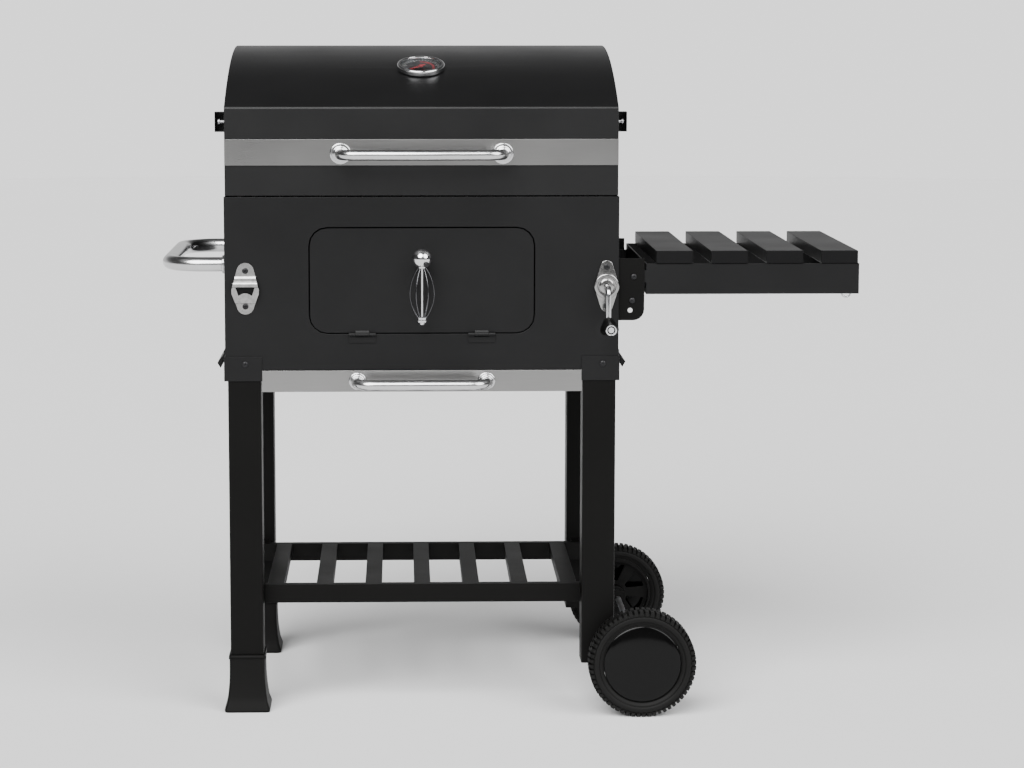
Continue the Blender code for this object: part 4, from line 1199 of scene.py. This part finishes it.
@dataclass(frozen=True)
class Studio:
    """Pale floor, soft light and the camera.

    Args:
        floor_radius: radius of the floor.
        backdrop: level of the plain background that the camera sees.
        wall_levels: position along the slope, and the surroundings' level there.
        wall_slope: direction in which the surroundings change.
        lamps: the lights.
        camera_place: where the camera stands.
        pitch_down: how far it looks down, degrees.
        turn_right: how far it looks to the right, degrees.
        lens: focal length, millimetres.
        shift: sideways and upward shift of the lens.
    """

    floor_radius: float = 14.0
    backdrop: float = 1.55
    wall_levels: tuple[tuple[float, float], ...] = ((0.0, 1.0), (0.30, 0.85), (0.46, 0.22), (0.62, 0.07),
                                                    (0.80, 0.06), (0.90, 0.30), (1.0, 0.16))
    wall_slope: tuple[float, float, float] = (0.0, -0.35, 0.50)
    lamps: tuple[SoftSun, ...] = (SoftSun("key_light", -24, 42, 48, 5.6),
                                  SoftSun("fill_light", 48, 34, 48, 3.2))
    camera_place: tuple[float, float, float] = (-0.1861, -4.3080, 1.1409)
    pitch_down: float = 6.65
    turn_right: float = 1.33
    lens: float = 89.5
    shift: tuple[float, float] = (0.05, -0.07)

    def build(self) -> None:
        """Make floor, world, lights and camera."""
        self.floor()
        self.walls()
        for lamp in self.lamps:
            lamp.build()
        camera = bpy.data.cameras.new("camera")
        camera.lens = self.lens
        camera.shift_x, camera.shift_y = self.shift
        item = linked("camera", camera)
        item.location = self.camera_place
        item.rotation_euler = (math.radians(90 - self.pitch_down), 0, math.radians(-self.turn_right))
        bpy.context.scene.camera = item

    def walls(self) -> None:
        """Surroundings: pale behind and below, dark overhead and dim in front."""
        world = bpy.data.worlds.new("studio_walls")
        world.use_nodes = True
        tree = world.node_tree
        room = tree.nodes["Background"]
        slope = tree.nodes.new("ShaderNodeVectorMath")
        slope.operation = "DOT_PRODUCT"
        slope.inputs[1].default_value = self.wall_slope
        tree.links.new(tree.nodes.new("ShaderNodeTexCoord").outputs["Generated"], slope.inputs[0])
        lift = tree.nodes.new("ShaderNodeMath")
        lift.inputs[1].default_value = 0.5
        tree.links.new(slope.outputs["Value"], lift.inputs[0])
        ramp = tree.nodes.new("ShaderNodeValToRGB")
        ramp.color_ramp.interpolation = "EASE"
        elements = ramp.color_ramp.elements
        while len(elements) < len(self.wall_levels):
            elements.new(0.5)
        for stop, (height, level) in zip(elements, self.wall_levels):
            stop.position = height
            stop.color = (level, level, level, 1.0)
        tree.links.new(lift.outputs["Value"], ramp.inputs["Fac"])
        tree.links.new(ramp.outputs["Color"], room.inputs["Color"])
        plain = tree.nodes.new("ShaderNodeBackground")
        plain.inputs["Color"].default_value = (1.0, 1.0, 1.0, 1.0)
        plain.inputs["Strength"].default_value = self.backdrop
        mix = tree.nodes.new("ShaderNodeMixShader")
        seen = tree.nodes.new("ShaderNodeLightPath").outputs["Is Camera Ray"]
        tree.links.new(seen, mix.inputs["Fac"])
        tree.links.new(room.outputs["Background"], mix.inputs[1])
        tree.links.new(plain.outputs["Background"], mix.inputs[2])
        tree.links.new(mix.outputs["Shader"], tree.nodes["World Output"].inputs["Surface"])
        bpy.context.scene.world = world

    def floor(self) -> None:
        """Large plain floor."""
        bm = bmesh.new()
        bmesh.ops.create_circle(bm, cap_ends=True, radius=self.floor_radius, segments=96)
        mesh = stored("floor", bm)
        finish = Finish("pale_floor", "", (0.80, 0.80, 0.80), (0.75, 0.85), patch=0.01, patch_size=1.5,
                        grain_size=0.05, bump=0.02, specular=0.2)
        mesh.materials.append(finish.material())
        linked("floor", mesh)


def main() -> None:
    """Dress the whole cart."""
    logging.basicConfig(level=logging.INFO, format="%(message)s")
    Studio().build()
    assemblies = [Firebox(), Undercart(), Lid(), LidVent("damper_left", "left"),
                  LidVent("damper_right", "right"), Thermometer(), Needle(), FireDoor(), Latch(),
                  AshDrawer(), Crank(), PanLift(), Wheel(end="front"), Wheel(end="back"),
                  SideShelf(), AirFlap(side="left"), AirFlap(side="right")]
    for assembly in assemblies:
        assembly.build()


if __name__ == "__main__":
    main()
